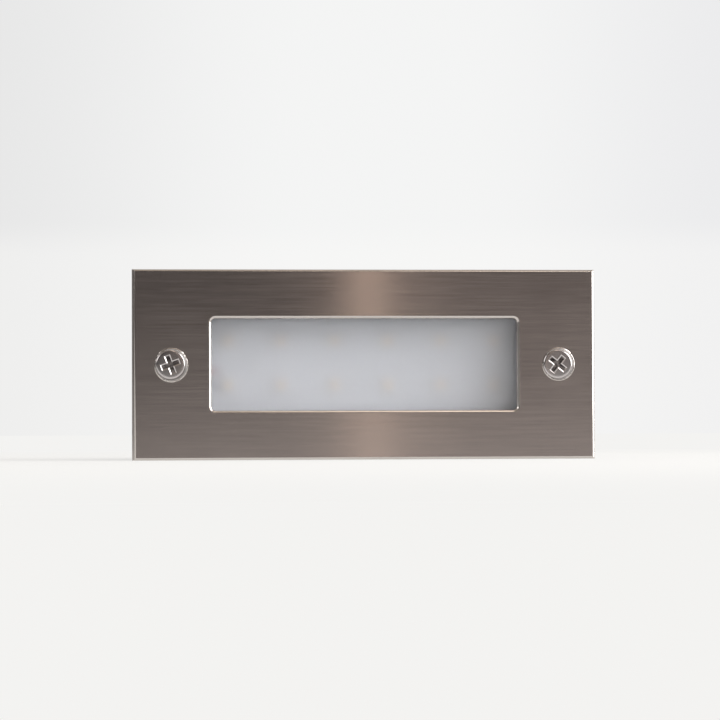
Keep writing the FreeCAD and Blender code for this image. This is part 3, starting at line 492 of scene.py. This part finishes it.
# %% Helper for node groups
def effect(name, label, value, outputs):
    """An empty node group: a Vector and one number go in, and the named numbers come out."""
    group = bpy.data.node_groups.new(name, "ShaderNodeTree")
    group.interface.new_socket("Vector", in_out="INPUT", socket_type="NodeSocketVector")
    size = group.interface.new_socket(label, in_out="INPUT", socket_type="NodeSocketFloat")
    size.default_value = value
    for output in outputs:
        group.interface.new_socket(output, in_out="OUTPUT", socket_type="NodeSocketFloat")
    start = group.nodes.new("NodeGroupInput")
    end = group.nodes.new("NodeGroupOutput")
    return group, start.outputs, end.inputs


print("group helper ready")

# %% Helpers for nodes
def node(tree, kind, values=None, **settings):
    """A node with its settings, and its inputs either set or linked from another socket."""
    made = tree.nodes.new(kind)
    for key, value in settings.items():
        setattr(made, key, value)
    for key, value in (values or {}).items():
        if isinstance(value, bpy.types.NodeSocket):
            tree.links.new(value, made.inputs[key])
        else:
            made.inputs[key].default_value = value
    return made


def number(tree, operation, *values):
    """A Math node; each value is a number or a socket."""
    return node(tree, "ShaderNodeMath", dict(enumerate(values)), operation=operation).outputs[0]


def ramp(tree, value, start=0.0, end=1.0, low=0.0, high=1.0, kind="LINEAR"):
    """A Map Range node: from low to high while the value goes from start to end."""
    return node(
        tree, "ShaderNodeMapRange",
        {"Value": value, "From Min": start, "From Max": end, "To Min": low, "To Max": high},
        interpolation_type=kind,
    ).outputs["Result"]


def noise(tree, vector, scale, detail, roughness=0.5):
    """A Noise Texture's value."""
    values = {"Vector": vector, "Scale": scale, "Detail": detail, "Roughness": roughness}
    return node(tree, "ShaderNodeTexNoise", values).outputs["Fac"]


COLOUR_A, COLOUR_B, COLOUR_OUT = 6, 7, 2


def blend(tree, factor, first, second):
    """A Mix node for colours. Its colour sockets share their names with others, so they are counted."""
    values = {"Factor": factor, COLOUR_A: first, COLOUR_B: second}
    return node(tree, "ShaderNodeMix", values, data_type="RGBA").outputs[COLOUR_OUT]


print("node helpers ready")

# %% [markdown]
# ## Brushed lines
# A noise that is squeezed across the belt's path and drawn out along it turns into scratches. Three of
# them are added: fine lines, coarser ones, and short breaks that keep the lines from looking ruled.

# %% Brushed lines
FINE_STRETCH = (0.02, 0.05, 1.0)
COARSE_STRETCH = (0.03, 0.1, 1.0)
BREAK_STRETCH = (0.06, 0.1, 0.8)
FINE_SHARE, COARSE_SHARE, BREAK_SHARE = 0.7, 0.15, 0.15
COARSE_PER_FINE = 0.5
LINE_CONTRAST = (0.36, 0.64)


def lines_of(vector, stretch, scale, detail, roughness=0.5):
    """A noise on the vector multiplied along X, Y and Z, which draws it out into lines."""
    drawn_out = node(
        brushing, "ShaderNodeVectorMath", {0: vector, 1: stretch}, operation="MULTIPLY"
    ).outputs[0]
    return noise(brushing, drawn_out, scale, detail, roughness)


brushing, given, wanted = effect("brushing", "Lines", 3200.0, ["Mask", "Height"])
coarser = number(brushing, "MULTIPLY", given["Lines"], COARSE_PER_FINE)
fine = lines_of(given["Vector"], FINE_STRETCH, given["Lines"], detail=3.0, roughness=0.7)
coarse = lines_of(given["Vector"], COARSE_STRETCH, coarser, detail=2.0)
breaks = lines_of(given["Vector"], BREAK_STRETCH, coarser, detail=1.0)
lines = number(
    brushing, "ADD",
    number(brushing, "MULTIPLY", fine, FINE_SHARE),
    number(brushing, "MULTIPLY", coarse, COARSE_SHARE),
)
lines = number(brushing, "ADD", lines, number(brushing, "MULTIPLY", breaks, BREAK_SHARE))
brushing.links.new(ramp(brushing, lines, *LINE_CONTRAST), wanted["Mask"])
brushing.links.new(lines, wanted["Height"])
print("group:", brushing.name)

# %% [markdown]
# ## Moulded grain, casting skin and uneven patches
# A mould leaves an even fine grain, with slow flow marks in its colour. A die casting has a skin of
# small pits on a swelling surface. The patches are broad and faint, and every finish mixes them in.

# %% Moulded grain, casting skin and uneven patches
FLOW_PER_GRAIN = 0.03
SWELL_PER_GRAIN, PIT_SHARE = 0.25, 0.4
PATCHES_IN_METRE, PATCH_CONTRAST = 45.0, (0.3, 0.7)

mould_grain, given, wanted = effect("mould grain", "Grain", 2500.0, ["Mask", "Height"])
grain = noise(mould_grain, given["Vector"], given["Grain"], detail=2.0, roughness=0.55)
flow_scale = number(mould_grain, "MULTIPLY", given["Grain"], FLOW_PER_GRAIN)
flow = noise(mould_grain, given["Vector"], flow_scale, detail=3.0)
mould_grain.links.new(flow, wanted["Mask"])
mould_grain.links.new(grain, wanted["Height"])

casting_skin, given, wanted = effect("casting skin", "Grain", 900.0, ["Mask", "Height"])
pits = node(
    casting_skin, "ShaderNodeTexVoronoi", {"Vector": given["Vector"], "Scale": given["Grain"]},
    feature="SMOOTH_F1",
).outputs["Distance"]
swell_scale = number(casting_skin, "MULTIPLY", given["Grain"], SWELL_PER_GRAIN)
swell = noise(casting_skin, given["Vector"], swell_scale, detail=4.0, roughness=0.6)
skin = number(casting_skin, "ADD", number(casting_skin, "MULTIPLY", pits, PIT_SHARE), swell)
casting_skin.links.new(swell, wanted["Mask"])
casting_skin.links.new(skin, wanted["Height"])

patches, given, wanted = effect("patches", "Patches", PATCHES_IN_METRE, ["Mask"])
broad = noise(patches, given["Vector"], given["Patches"], detail=3.0, roughness=0.6)
patches.links.new(ramp(patches, broad, *PATCH_CONTRAST), wanted["Mask"])
print("groups:", [group.name for group in bpy.data.node_groups])

# %% [markdown]
# ## A recipe for finishes
# A finish is a base colour that drifts a little towards a second one, a roughness that varies between
# two values, and a height for the bump. One helper wires a surface effect and the patches to these
# three, and what stays the same all over is written straight on the shader's own sockets.

# %% Finish helper
DETAIL_SHARE, PATCH_SHARE = 0.6, 0.4


def finish(name, tones, rough, skin_of, scale, depth, patch=PATCHES_IN_METRE, **constant):
    """A Principled material: two tones, two roughnesses, an effect with its scale, a bump in mm."""
    material = bpy.data.materials.new(name)
    material.use_nodes = True
    tree = material.node_tree
    tree.nodes.clear()
    place = node(tree, "ShaderNodeTexCoord").outputs["Object"]
    detail = node(tree, "ShaderNodeGroup", {0: place, 1: scale}, node_tree=skin_of).outputs
    wear = node(tree, "ShaderNodeGroup", {0: place, 1: patch}, node_tree=patches).outputs
    mixed = number(
        tree, "ADD",
        number(tree, "MULTIPLY", detail["Mask"], DETAIL_SHARE),
        number(tree, "MULTIPLY", wear["Mask"], PATCH_SHARE),
    )
    bump = node(
        tree, "ShaderNodeBump",
        {"Strength": 1.0, "Distance": depth * MM, "Height": detail["Height"]},
    ).outputs["Normal"]
    shader = node(
        tree, "ShaderNodeBsdfPrincipled",
        {
            "Base Color": blend(tree, mixed, (*tones[0], 1), (*tones[1], 1)),
            "Roughness": ramp(tree, mixed, low=rough[0], high=rough[1]),
            "Normal": bump,
        },
    )
    for socket, value in constant.items():
        shader.inputs[socket.replace("_", " ")].default_value = value
    out = node(tree, "ShaderNodeOutputMaterial", {"Surface": shader.outputs["BSDF"]})
    return material, tree, shader, out


print("finish helper ready")

# %% [markdown]
# ## Brushed stainless steel
# The belt runs along the plate, so the scratches are long thin lines along X. They spread a highlight
# up and down, across the lines, which gives the plate its upright streak. That is anisotropy: a
# constant on the shader, with the tangent taken from the plate's own UV map so that it follows the
# brushing. The arrises and the countersinks have lighter steels of their own, on the faces that slant
# away from the flat front: a painted highlight, and on the arrises a warmer tone, a painted reflection
# of the floor.

# %% Steels of the faceplate
PLATE_TONES = ((0.338, 0.293, 0.276), (0.412, 0.359, 0.337))
# Lighter, warmer steel for the arrises: painted highlight and painted reflection of the floor.
ARRIS_HIGHLIGHT_TONES = ((0.58, 0.54, 0.51), (0.66, 0.615, 0.58))
# Lighter steel for the countersinks: painted highlight.
SINK_HIGHLIGHT_TONES = ((0.66, 0.635, 0.62), (0.74, 0.715, 0.70))
FLAT_ON, EDGE_ON = -0.995, -0.03

plate_steel, tree, shader, _ = finish(
    "brushed stainless steel", PLATE_TONES, (0.15, 0.20), brushing, 3400.0, 0.0015,
    patch=30.0, Metallic=1.0, Anisotropic=1.0, Anisotropic_Rotation=0.25,
)
along = node(tree, "ShaderNodeTangent", direction_type="UV_MAP")
along.uv_map = faceplate.data.uv_layers[0].name
tree.links.new(along.outputs["Tangent"], shader.inputs["Tangent"])
arris_highlight_steel, *_ = finish(
    "arris steel with painted highlight", ARRIS_HIGHLIGHT_TONES, (0.16, 0.24), mould_grain, 2500.0, 0.001, Metallic=1.0,
)
sink_highlight_steel, *_ = finish(
    "countersink steel with painted highlight", SINK_HIGHLIGHT_TONES, (0.40, 0.50), mould_grain, 2500.0, 0.002,
    Metallic=1.0,
)
faceplate.data.materials.clear()
for steel in (plate_steel, arris_highlight_steel, sink_highlight_steel):
    faceplate.data.materials.append(steel)
# Slanting faces take the lighter steels: a painted highlight on the arrises and the countersinks.
for face in faceplate.data.polygons:
    place = face.center / MM
    in_sink = any(math.hypot(place.x - x, place.z - z) < radius for x, z, radius in SINKS)
    if FLAT_ON < face.normal.y < EDGE_ON:
        face.material_index = 2 if in_sink else 1
    else:
        face.material_index = 0
print("faceplate steels:", [steel.name for steel in faceplate.data.materials])

# %% [markdown]
# ## Screw steel
# The heads are brighter than the plate. The inside of the recess is a darker copy of the head's steel,
# painted shade where less light reaches into the cross. The faces below the recess's mouth are found by
# their place in the head.

# %% Steels of the screws
FASTENER_TONES = ((0.50, 0.465, 0.46), (0.60, 0.565, 0.56))
# Darker tones for the inside of the recess: painted shade.
RECESS_SHADE_TONES = ((0.41, 0.385, 0.38), (0.51, 0.48, 0.475))
RECESS_PAST_FLOOR = 0.3

fastener_steel, *_ = finish(
    "bright stainless steel", FASTENER_TONES, (0.15, 0.24), mould_grain, 2500.0, 0.002,
    Metallic=1.0,
)
recess_shade_steel, *_ = finish(
    "recess steel with painted shade", RECESS_SHADE_TONES, (0.16, 0.26), mould_grain, 2500.0, 0.004, Metallic=1.0,
)
# The faces inside the recess take the darker steel: painted shade in the cross.
for piece, x in ((face_screw, -SCREW_X), (right_screw, SCREW_X)):
    piece.data.materials.clear()
    piece.data.materials.append(fastener_steel)
    piece.data.materials.append(recess_shade_steel)
    for face in piece.data.polygons:
        place = face.center / MM
        off_axis = math.hypot(place.x - x, place.z)
        below_mouth = MOUTH_FLOOR < place.y < RECESS_FLOOR + RECESS_PAST_FLOOR
        above_cone = off_axis < HEAD_RADIUS - (place.y - MOUTH_FLOOR)
        face.material_index = int(below_mouth and above_cone and off_axis < WING_TOP[0] / 2)
print("screw steels:", [steel.name for steel in face_screw.data.materials])

# %% [markdown]
# ## Frosted glass
# The pane is 3 mm glass, etched on its back. It scatters most of the light, so the LEDs behind are
# only faint warm spots. A path tracer can't aim at a lamp through rough glass, and the board behind
# would stay dark. So shadow rays pass through the pane as through clear glass, and all the others meet
# the real shader.

# %% Frosted pane
PANE_TONES = ((0.90, 0.915, 0.955), (0.92, 0.93, 0.965))
PANE_CLEAR = (0.95, 0.96, 1.0, 1)

frosted, tree, shader, out = finish(
    "frosted glass", PANE_TONES, (0.33, 0.37), mould_grain, 4000.0, 0.003,
    IOR=1.49, Transmission_Weight=0.87,
)
clear = node(tree, "ShaderNodeBsdfTransparent", {"Color": PANE_CLEAR})
for_shadows = node(tree, "ShaderNodeLightPath").outputs["Is Shadow Ray"]
either = node(
    tree, "ShaderNodeMixShader",
    {0: for_shadows, 1: shader.outputs["BSDF"], 2: clear.outputs["BSDF"]},
)
tree.links.new(either.outputs["Shader"], out.inputs["Surface"])
print("pane ready")

# %% [markdown]
# ## Plastics and rubbers
# Most of the other pieces are moulded, and follow the same recipe, each with the tones, the gloss and
# the grain of its own material. Each row has two tones, two roughnesses, the grains in a metre and
# their height in millimetres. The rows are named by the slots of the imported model.

# %% Moulded pieces of the lamp and its box
MOULDED = {
    "white silicone": ((0.72, 0.72, 0.71), (0.80, 0.80, 0.79), 0.42, 0.55, 1800.0, 0.004),
    "black rubber": ((0.022, 0.021, 0.020), (0.040, 0.039, 0.038), 0.55, 0.72, 1500.0, 0.010),
    "white plastic": ((0.42, 0.42, 0.415), (0.48, 0.48, 0.475), 0.32, 0.42, 2200.0, 0.004),
    "black nylon": ((0.020, 0.020, 0.021), (0.034, 0.034, 0.035), 0.38, 0.50, 2200.0, 0.008),
    "dark plastic": ((0.024, 0.025, 0.027), (0.056, 0.057, 0.060), 0.36, 0.56, 1100.0, 0.040),
    "white solder mask": ((0.78, 0.79, 0.78), (0.84, 0.85, 0.84), 0.30, 0.40, 1600.0, 0.003),
    "LED package": ((0.84, 0.81, 0.765), (0.88, 0.845, 0.80), 0.35, 0.45, 4000.0, 0.002),
    "LED phosphor": ((0.86, 0.69, 0.45), (0.90, 0.745, 0.51), 0.25, 0.35, 6000.0, 0.003),
}
print("moulded rows:", len(MOULDED))

# %% Moulded and coated pieces of the driver
MOULDED.update({
    "red wire": ((0.42, 0.018, 0.014), (0.52, 0.030, 0.022), 0.34, 0.44, 2500.0, 0.004),
    "black wire": ((0.018, 0.018, 0.019), (0.030, 0.030, 0.031), 0.34, 0.44, 2500.0, 0.004),
    "insulation film": ((0.60, 0.52, 0.34), (0.68, 0.60, 0.42), 0.22, 0.34, 1200.0, 0.003),
    "green circuit board": ((0.012, 0.11, 0.035), (0.020, 0.16, 0.055), 0.24, 0.34, 1500.0, 0.004),
    "terminal plastic": ((0.03, 0.12, 0.30), (0.05, 0.17, 0.38), 0.34, 0.44, 2500.0, 0.004),
    "capacitor plastic": ((0.70, 0.50, 0.08), (0.78, 0.58, 0.12), 0.30, 0.40, 2500.0, 0.004),
    "resistor lacquer": ((0.10, 0.24, 0.17), (0.15, 0.31, 0.22), 0.28, 0.38, 3000.0, 0.006),
    "capacitor sleeve": ((0.018, 0.020, 0.035), (0.030, 0.034, 0.055), 0.24, 0.34, 1500.0, 0.003),
    "moulded chip": ((0.014, 0.014, 0.015), (0.028, 0.028, 0.029), 0.48, 0.60, 4000.0, 0.008),
})
finishes = {
    "brushed steel plate": plate_steel,
    "steel fastener": fastener_steel,
    "frosted glass": frosted,
}
for slot, (first, second, polished, matt, grain, height) in MOULDED.items():
    finishes[slot], *_ = finish(
        f"{slot} finish", (first, second), (polished, matt), mould_grain, grain, height
    )
print("finishes:", len(finishes))

# %% [markdown]
# ## Castings and small metal pieces
# The housing and the cover are die castings, and so pitted rather than grained; pressed ferrite has
# the same skin, only finer. The brass inserts are turned, which leaves lines. Every node of the packed
# model then takes the finish that its slot names.

# %% Castings and small metal pieces
CASTING_TONES = ((0.46, 0.46, 0.46), (0.60, 0.60, 0.59))
FERRITE_TONES = ((0.045, 0.044, 0.046), (0.075, 0.074, 0.075))
BRASS_TONES = ((0.66, 0.46, 0.19), (0.76, 0.55, 0.25))
ZINC_TONES = ((0.52, 0.53, 0.54), (0.62, 0.63, 0.64))

finishes["cast aluminium"], *_ = finish(
    "cast aluminium finish", CASTING_TONES, (0.48, 0.64), casting_skin, 800.0, 0.09, Metallic=1.0,
)
finishes["ferrite"], *_ = finish(
    "ferrite finish", FERRITE_TONES, (0.50, 0.65), casting_skin, 2500.0, 0.02,
)
finishes["brass"], *_ = finish(
    "brass finish", BRASS_TONES, (0.22, 0.34), brushing, 3000.0, 0.004, Metallic=1.0,
)
finishes["zinc steel"], *_ = finish(
    "zinc steel finish", ZINC_TONES, (0.26, 0.38), mould_grain, 2000.0, 0.004, Metallic=1.0,
)
for piece in nodes.values():
    for spot in piece.material_slots:
        spot.material = finishes[spot.material.name]
print("finishes:", len(finishes))

# %% [markdown]
# ## The floor
# The light stands on a plain pale floor. Close to the light the floor is partly matt paint that takes
# the soft shadow. Further off it fades to a plain colour that needs no lamp. Mirrors see a dimmer floor
# to the front and to the left than the camera does, because the room of the photograph is dim there.

# %% Floor sheet
FLOOR_SIZE = 24.0
FLOOR_TOP = -PLATE_SIZE[2] / 2

bpy.ops.object.select_all(action="DESELECT")
bpy.ops.mesh.primitive_plane_add(size=FLOOR_SIZE, location=(0, 0, FLOOR_TOP * MM))
floor = settle(bpy.context.object, "floor")
print("floor at", FLOOR_TOP, "mm")

# %% Floor paint
FLOOR_PALE = (0.90, 0.895, 0.88, 1)
SHADOW_REACH = (0.12, 0.45)
SHOWN_NEAR, SHOWN_FAR = 0.76, 1.0
DIM_FRONT_REACH, DIM_FRONT = (-0.42, -0.10), 0.16
DIM_LEFT_REACH, DIM_LEFT = (-0.50, -0.12), 0.22


def eased(tree, value, reach, low=0.0, high=1.0):
    """A smooth ramp from low to high while the value goes from one end of the reach to the other."""
    return ramp(tree, value, *reach, low, high, "SMOOTHSTEP")


floor_paint = bpy.data.materials.new("pale floor")
floor_paint.use_nodes = True
tree = floor_paint.node_tree
tree.nodes.clear()
path = node(tree, "ShaderNodeLightPath").outputs
mirror_or_glass = number(tree, "MAXIMUM", path["Is Glossy Ray"], path["Is Transmission Ray"])
seen = number(tree, "MAXIMUM", path["Is Camera Ray"], mirror_or_glass)
place = node(tree, "ShaderNodeTexCoord").outputs["Object"]
spot = node(tree, "ShaderNodeSeparateXYZ", {0: place}).outputs
dimmed = number(
    tree, "MINIMUM",
    eased(tree, spot["Y"], DIM_FRONT_REACH, DIM_FRONT, 1.0),
    eased(tree, spot["X"], DIM_LEFT_REACH, DIM_LEFT, 1.0),
)
strength = number(tree, "MAXIMUM", dimmed, path["Is Camera Ray"])
lit = node(tree, "ShaderNodeBsdfDiffuse", {"Color": FLOOR_PALE})
shown = node(tree, "ShaderNodeEmission", {"Color": FLOOR_PALE, "Strength": strength})
away = node(tree, "ShaderNodeVectorMath", {0: place}, operation="LENGTH").outputs["Value"]
part = number(tree, "MULTIPLY", seen, eased(tree, away, SHADOW_REACH, SHOWN_NEAR, SHOWN_FAR))
both = node(tree, "ShaderNodeMixShader", {0: part, 1: lit.outputs[0], 2: shown.outputs[0]})
node(tree, "ShaderNodeOutputMaterial", {"Surface": both.outputs[0]})
floor.data.materials.append(floor_paint)
print("floor paint ready")

# %% [markdown]
# ## The room
# Steel has no look of its own: it shows the room. The room is dim on the camera's side and low on the
# left, warmer overhead, brighter to the right, and pale beyond the light. The camera sees only a plain
# backdrop, which shades a little from left to right and is palest just above the floor.

# %% Room in reflections
WALL_PALE = (0.905, 0.908, 0.905, 1)
ROOM_DIM = (0.086, 0.077, 0.075, 1)
ROOM_DIM_RIGHT = (0.238, 0.212, 0.204, 1)
ROOM_TOP = (0.42, 0.37, 0.32, 1)
ROOM_LEFT = (0.25, 0.245, 0.235, 1)
ROOM_RIGHT = (0.8, 0.8, 0.8, 1)
LEFT_TO_RIGHT = (-0.3, 0.8)
DIM_TO_DIM_RIGHT = (0.03, 0.14)
CAMERA_SIDE_TO_WALLS = (-0.88, -0.60)
WALLS_TO_TOP = (0.45, 0.75)
LOW_LEFT_ACROSS, LOW_LEFT_UP = (-0.45, -0.20), (0.12, 0.28)
WALLS_TO_BEYOND = (0.30, 0.90)

room = bpy.data.worlds.new("pale room")
bpy.context.scene.world = room
room.use_nodes = True
tree = room.node_tree
tree.nodes.clear()
direction = node(tree, "ShaderNodeTexCoord").outputs["Generated"]
towards = node(tree, "ShaderNodeSeparateXYZ", {0: direction}).outputs
walls = blend(tree, eased(tree, towards["X"], LEFT_TO_RIGHT), ROOM_LEFT, ROOM_RIGHT)
camera_side = blend(
    tree, eased(tree, towards["X"], DIM_TO_DIM_RIGHT), ROOM_DIM, ROOM_DIM_RIGHT
)
around = blend(tree, eased(tree, towards["Y"], CAMERA_SIDE_TO_WALLS), camera_side, walls)
around = blend(tree, eased(tree, towards["Z"], WALLS_TO_TOP), around, ROOM_TOP)
low_left = number(
    tree, "MULTIPLY",
    eased(tree, towards["X"], LOW_LEFT_ACROSS, 1.0, 0.0),
    eased(tree, towards["Z"], LOW_LEFT_UP, 1.0, 0.0),
)
around = blend(tree, low_left, around, ROOM_DIM)
around = blend(tree, eased(tree, towards["Y"], WALLS_TO_BEYOND), around, WALL_PALE)
print("room ready")

# %% Backdrop for the camera
BACKDROP_LEFT = (0.80, 0.80, 0.80, 1)
BACKDROP_RIGHT = (0.835, 0.835, 0.845, 1)
HORIZON_PALE, HORIZON_SHARE = (0.955, 0.95, 0.935, 1), 0.38
LEFT_TO_MIDDLE, MIDDLE_TO_RIGHT = (-0.04, 0.085), (0.13, 0.23)
HORIZON_REACH = (0.058, 0.072)

backdrop = blend(tree, eased(tree, towards["X"], LEFT_TO_MIDDLE), BACKDROP_LEFT, WALL_PALE)
backdrop = blend(tree, eased(tree, towards["X"], MIDDLE_TO_RIGHT), backdrop, BACKDROP_RIGHT)
above_horizon = eased(tree, towards["Z"], HORIZON_REACH, HORIZON_SHARE, 0.0)
backdrop = blend(tree, above_horizon, backdrop, HORIZON_PALE)
for_camera = node(tree, "ShaderNodeLightPath").outputs["Is Camera Ray"]
colour = blend(tree, for_camera, around, backdrop)
air = node(tree, "ShaderNodeBackground", {"Color": colour, "Strength": 1.0})
node(tree, "ShaderNodeOutputWorld", {"Surface": air.outputs[0]})
print("backdrop ready")

# %% [markdown]
# ## Lamps
# A wide soft window on the right whitens every edge that faces it, and throws the soft shadow at the
# right end of the sunk pane. The ceiling lamp lights only the matt surfaces. The left glow and the warm
# one overhead show only in mirrors, on the screws and the rounded arrises. Three narrow warm strips
# behind the camera are what the brushing draws out into the upright streak: a tall one for its upper
# half, and two short ones for the middle and the foot.

# %% Lamps
WHITE, CREAM, WARM = (1, 1, 1), (1.0, 0.86, 0.74), (1.0, 0.81, 0.66)
PLATE_MIDDLE, ABOVE_PLATE = (0, 0, 0), (0, 0, 0.1)


def soft_lamp(
    name, place, size, watts, colour=WHITE, aim=PLATE_MIDDLE, mirrored=True, scattered=True
):
    """An area lamp, in metres, that can be left out of mirrors or of matt surfaces."""
    data = bpy.data.lights.new(name, "AREA")
    data.shape, data.size, data.size_y = "RECTANGLE", size[0], size[1]
    data.energy, data.color = watts, colour
    lamp = bpy.data.objects.new(name, data)
    lamp.visible_camera, lamp.visible_glossy, lamp.visible_diffuse = False, mirrored, scattered
    bpy.context.scene.collection.objects.link(lamp)
    lamp.location = place
    lamp.rotation_euler = (Vector(aim) - Vector(place)).to_track_quat("-Z", "Y").to_euler()
    print(name, "at", place, watts, "W")


soft_lamp("right_window", (0.70, -0.23, 0.20), (1.05, 0.8), 13.2)
soft_lamp("ceiling", (0.35, -0.27, 1.25), (0.9, 0.8), 4.8, mirrored=False)
soft_lamp("left_glow", (-0.8, -0.35, 0.42), (0.9, 0.45), 2.6, scattered=False)
soft_lamp("warm_overhead", (0.17, -0.45, 0.85), (0.22, 0.50), 0.75, CREAM, scattered=False)
soft_lamp("warm_strip", (0.0915, -0.9, 0.27), (0.012, 0.5), 0.047, WARM, ABOVE_PLATE)
soft_lamp("warm_middle_strip", (0.098, -0.9, -0.02), (0.012, 0.05), 0.0075, WARM)
soft_lamp("warm_low_strip", (0.121, -0.9, -0.03), (0.036, 0.045), 0.011, WARM)
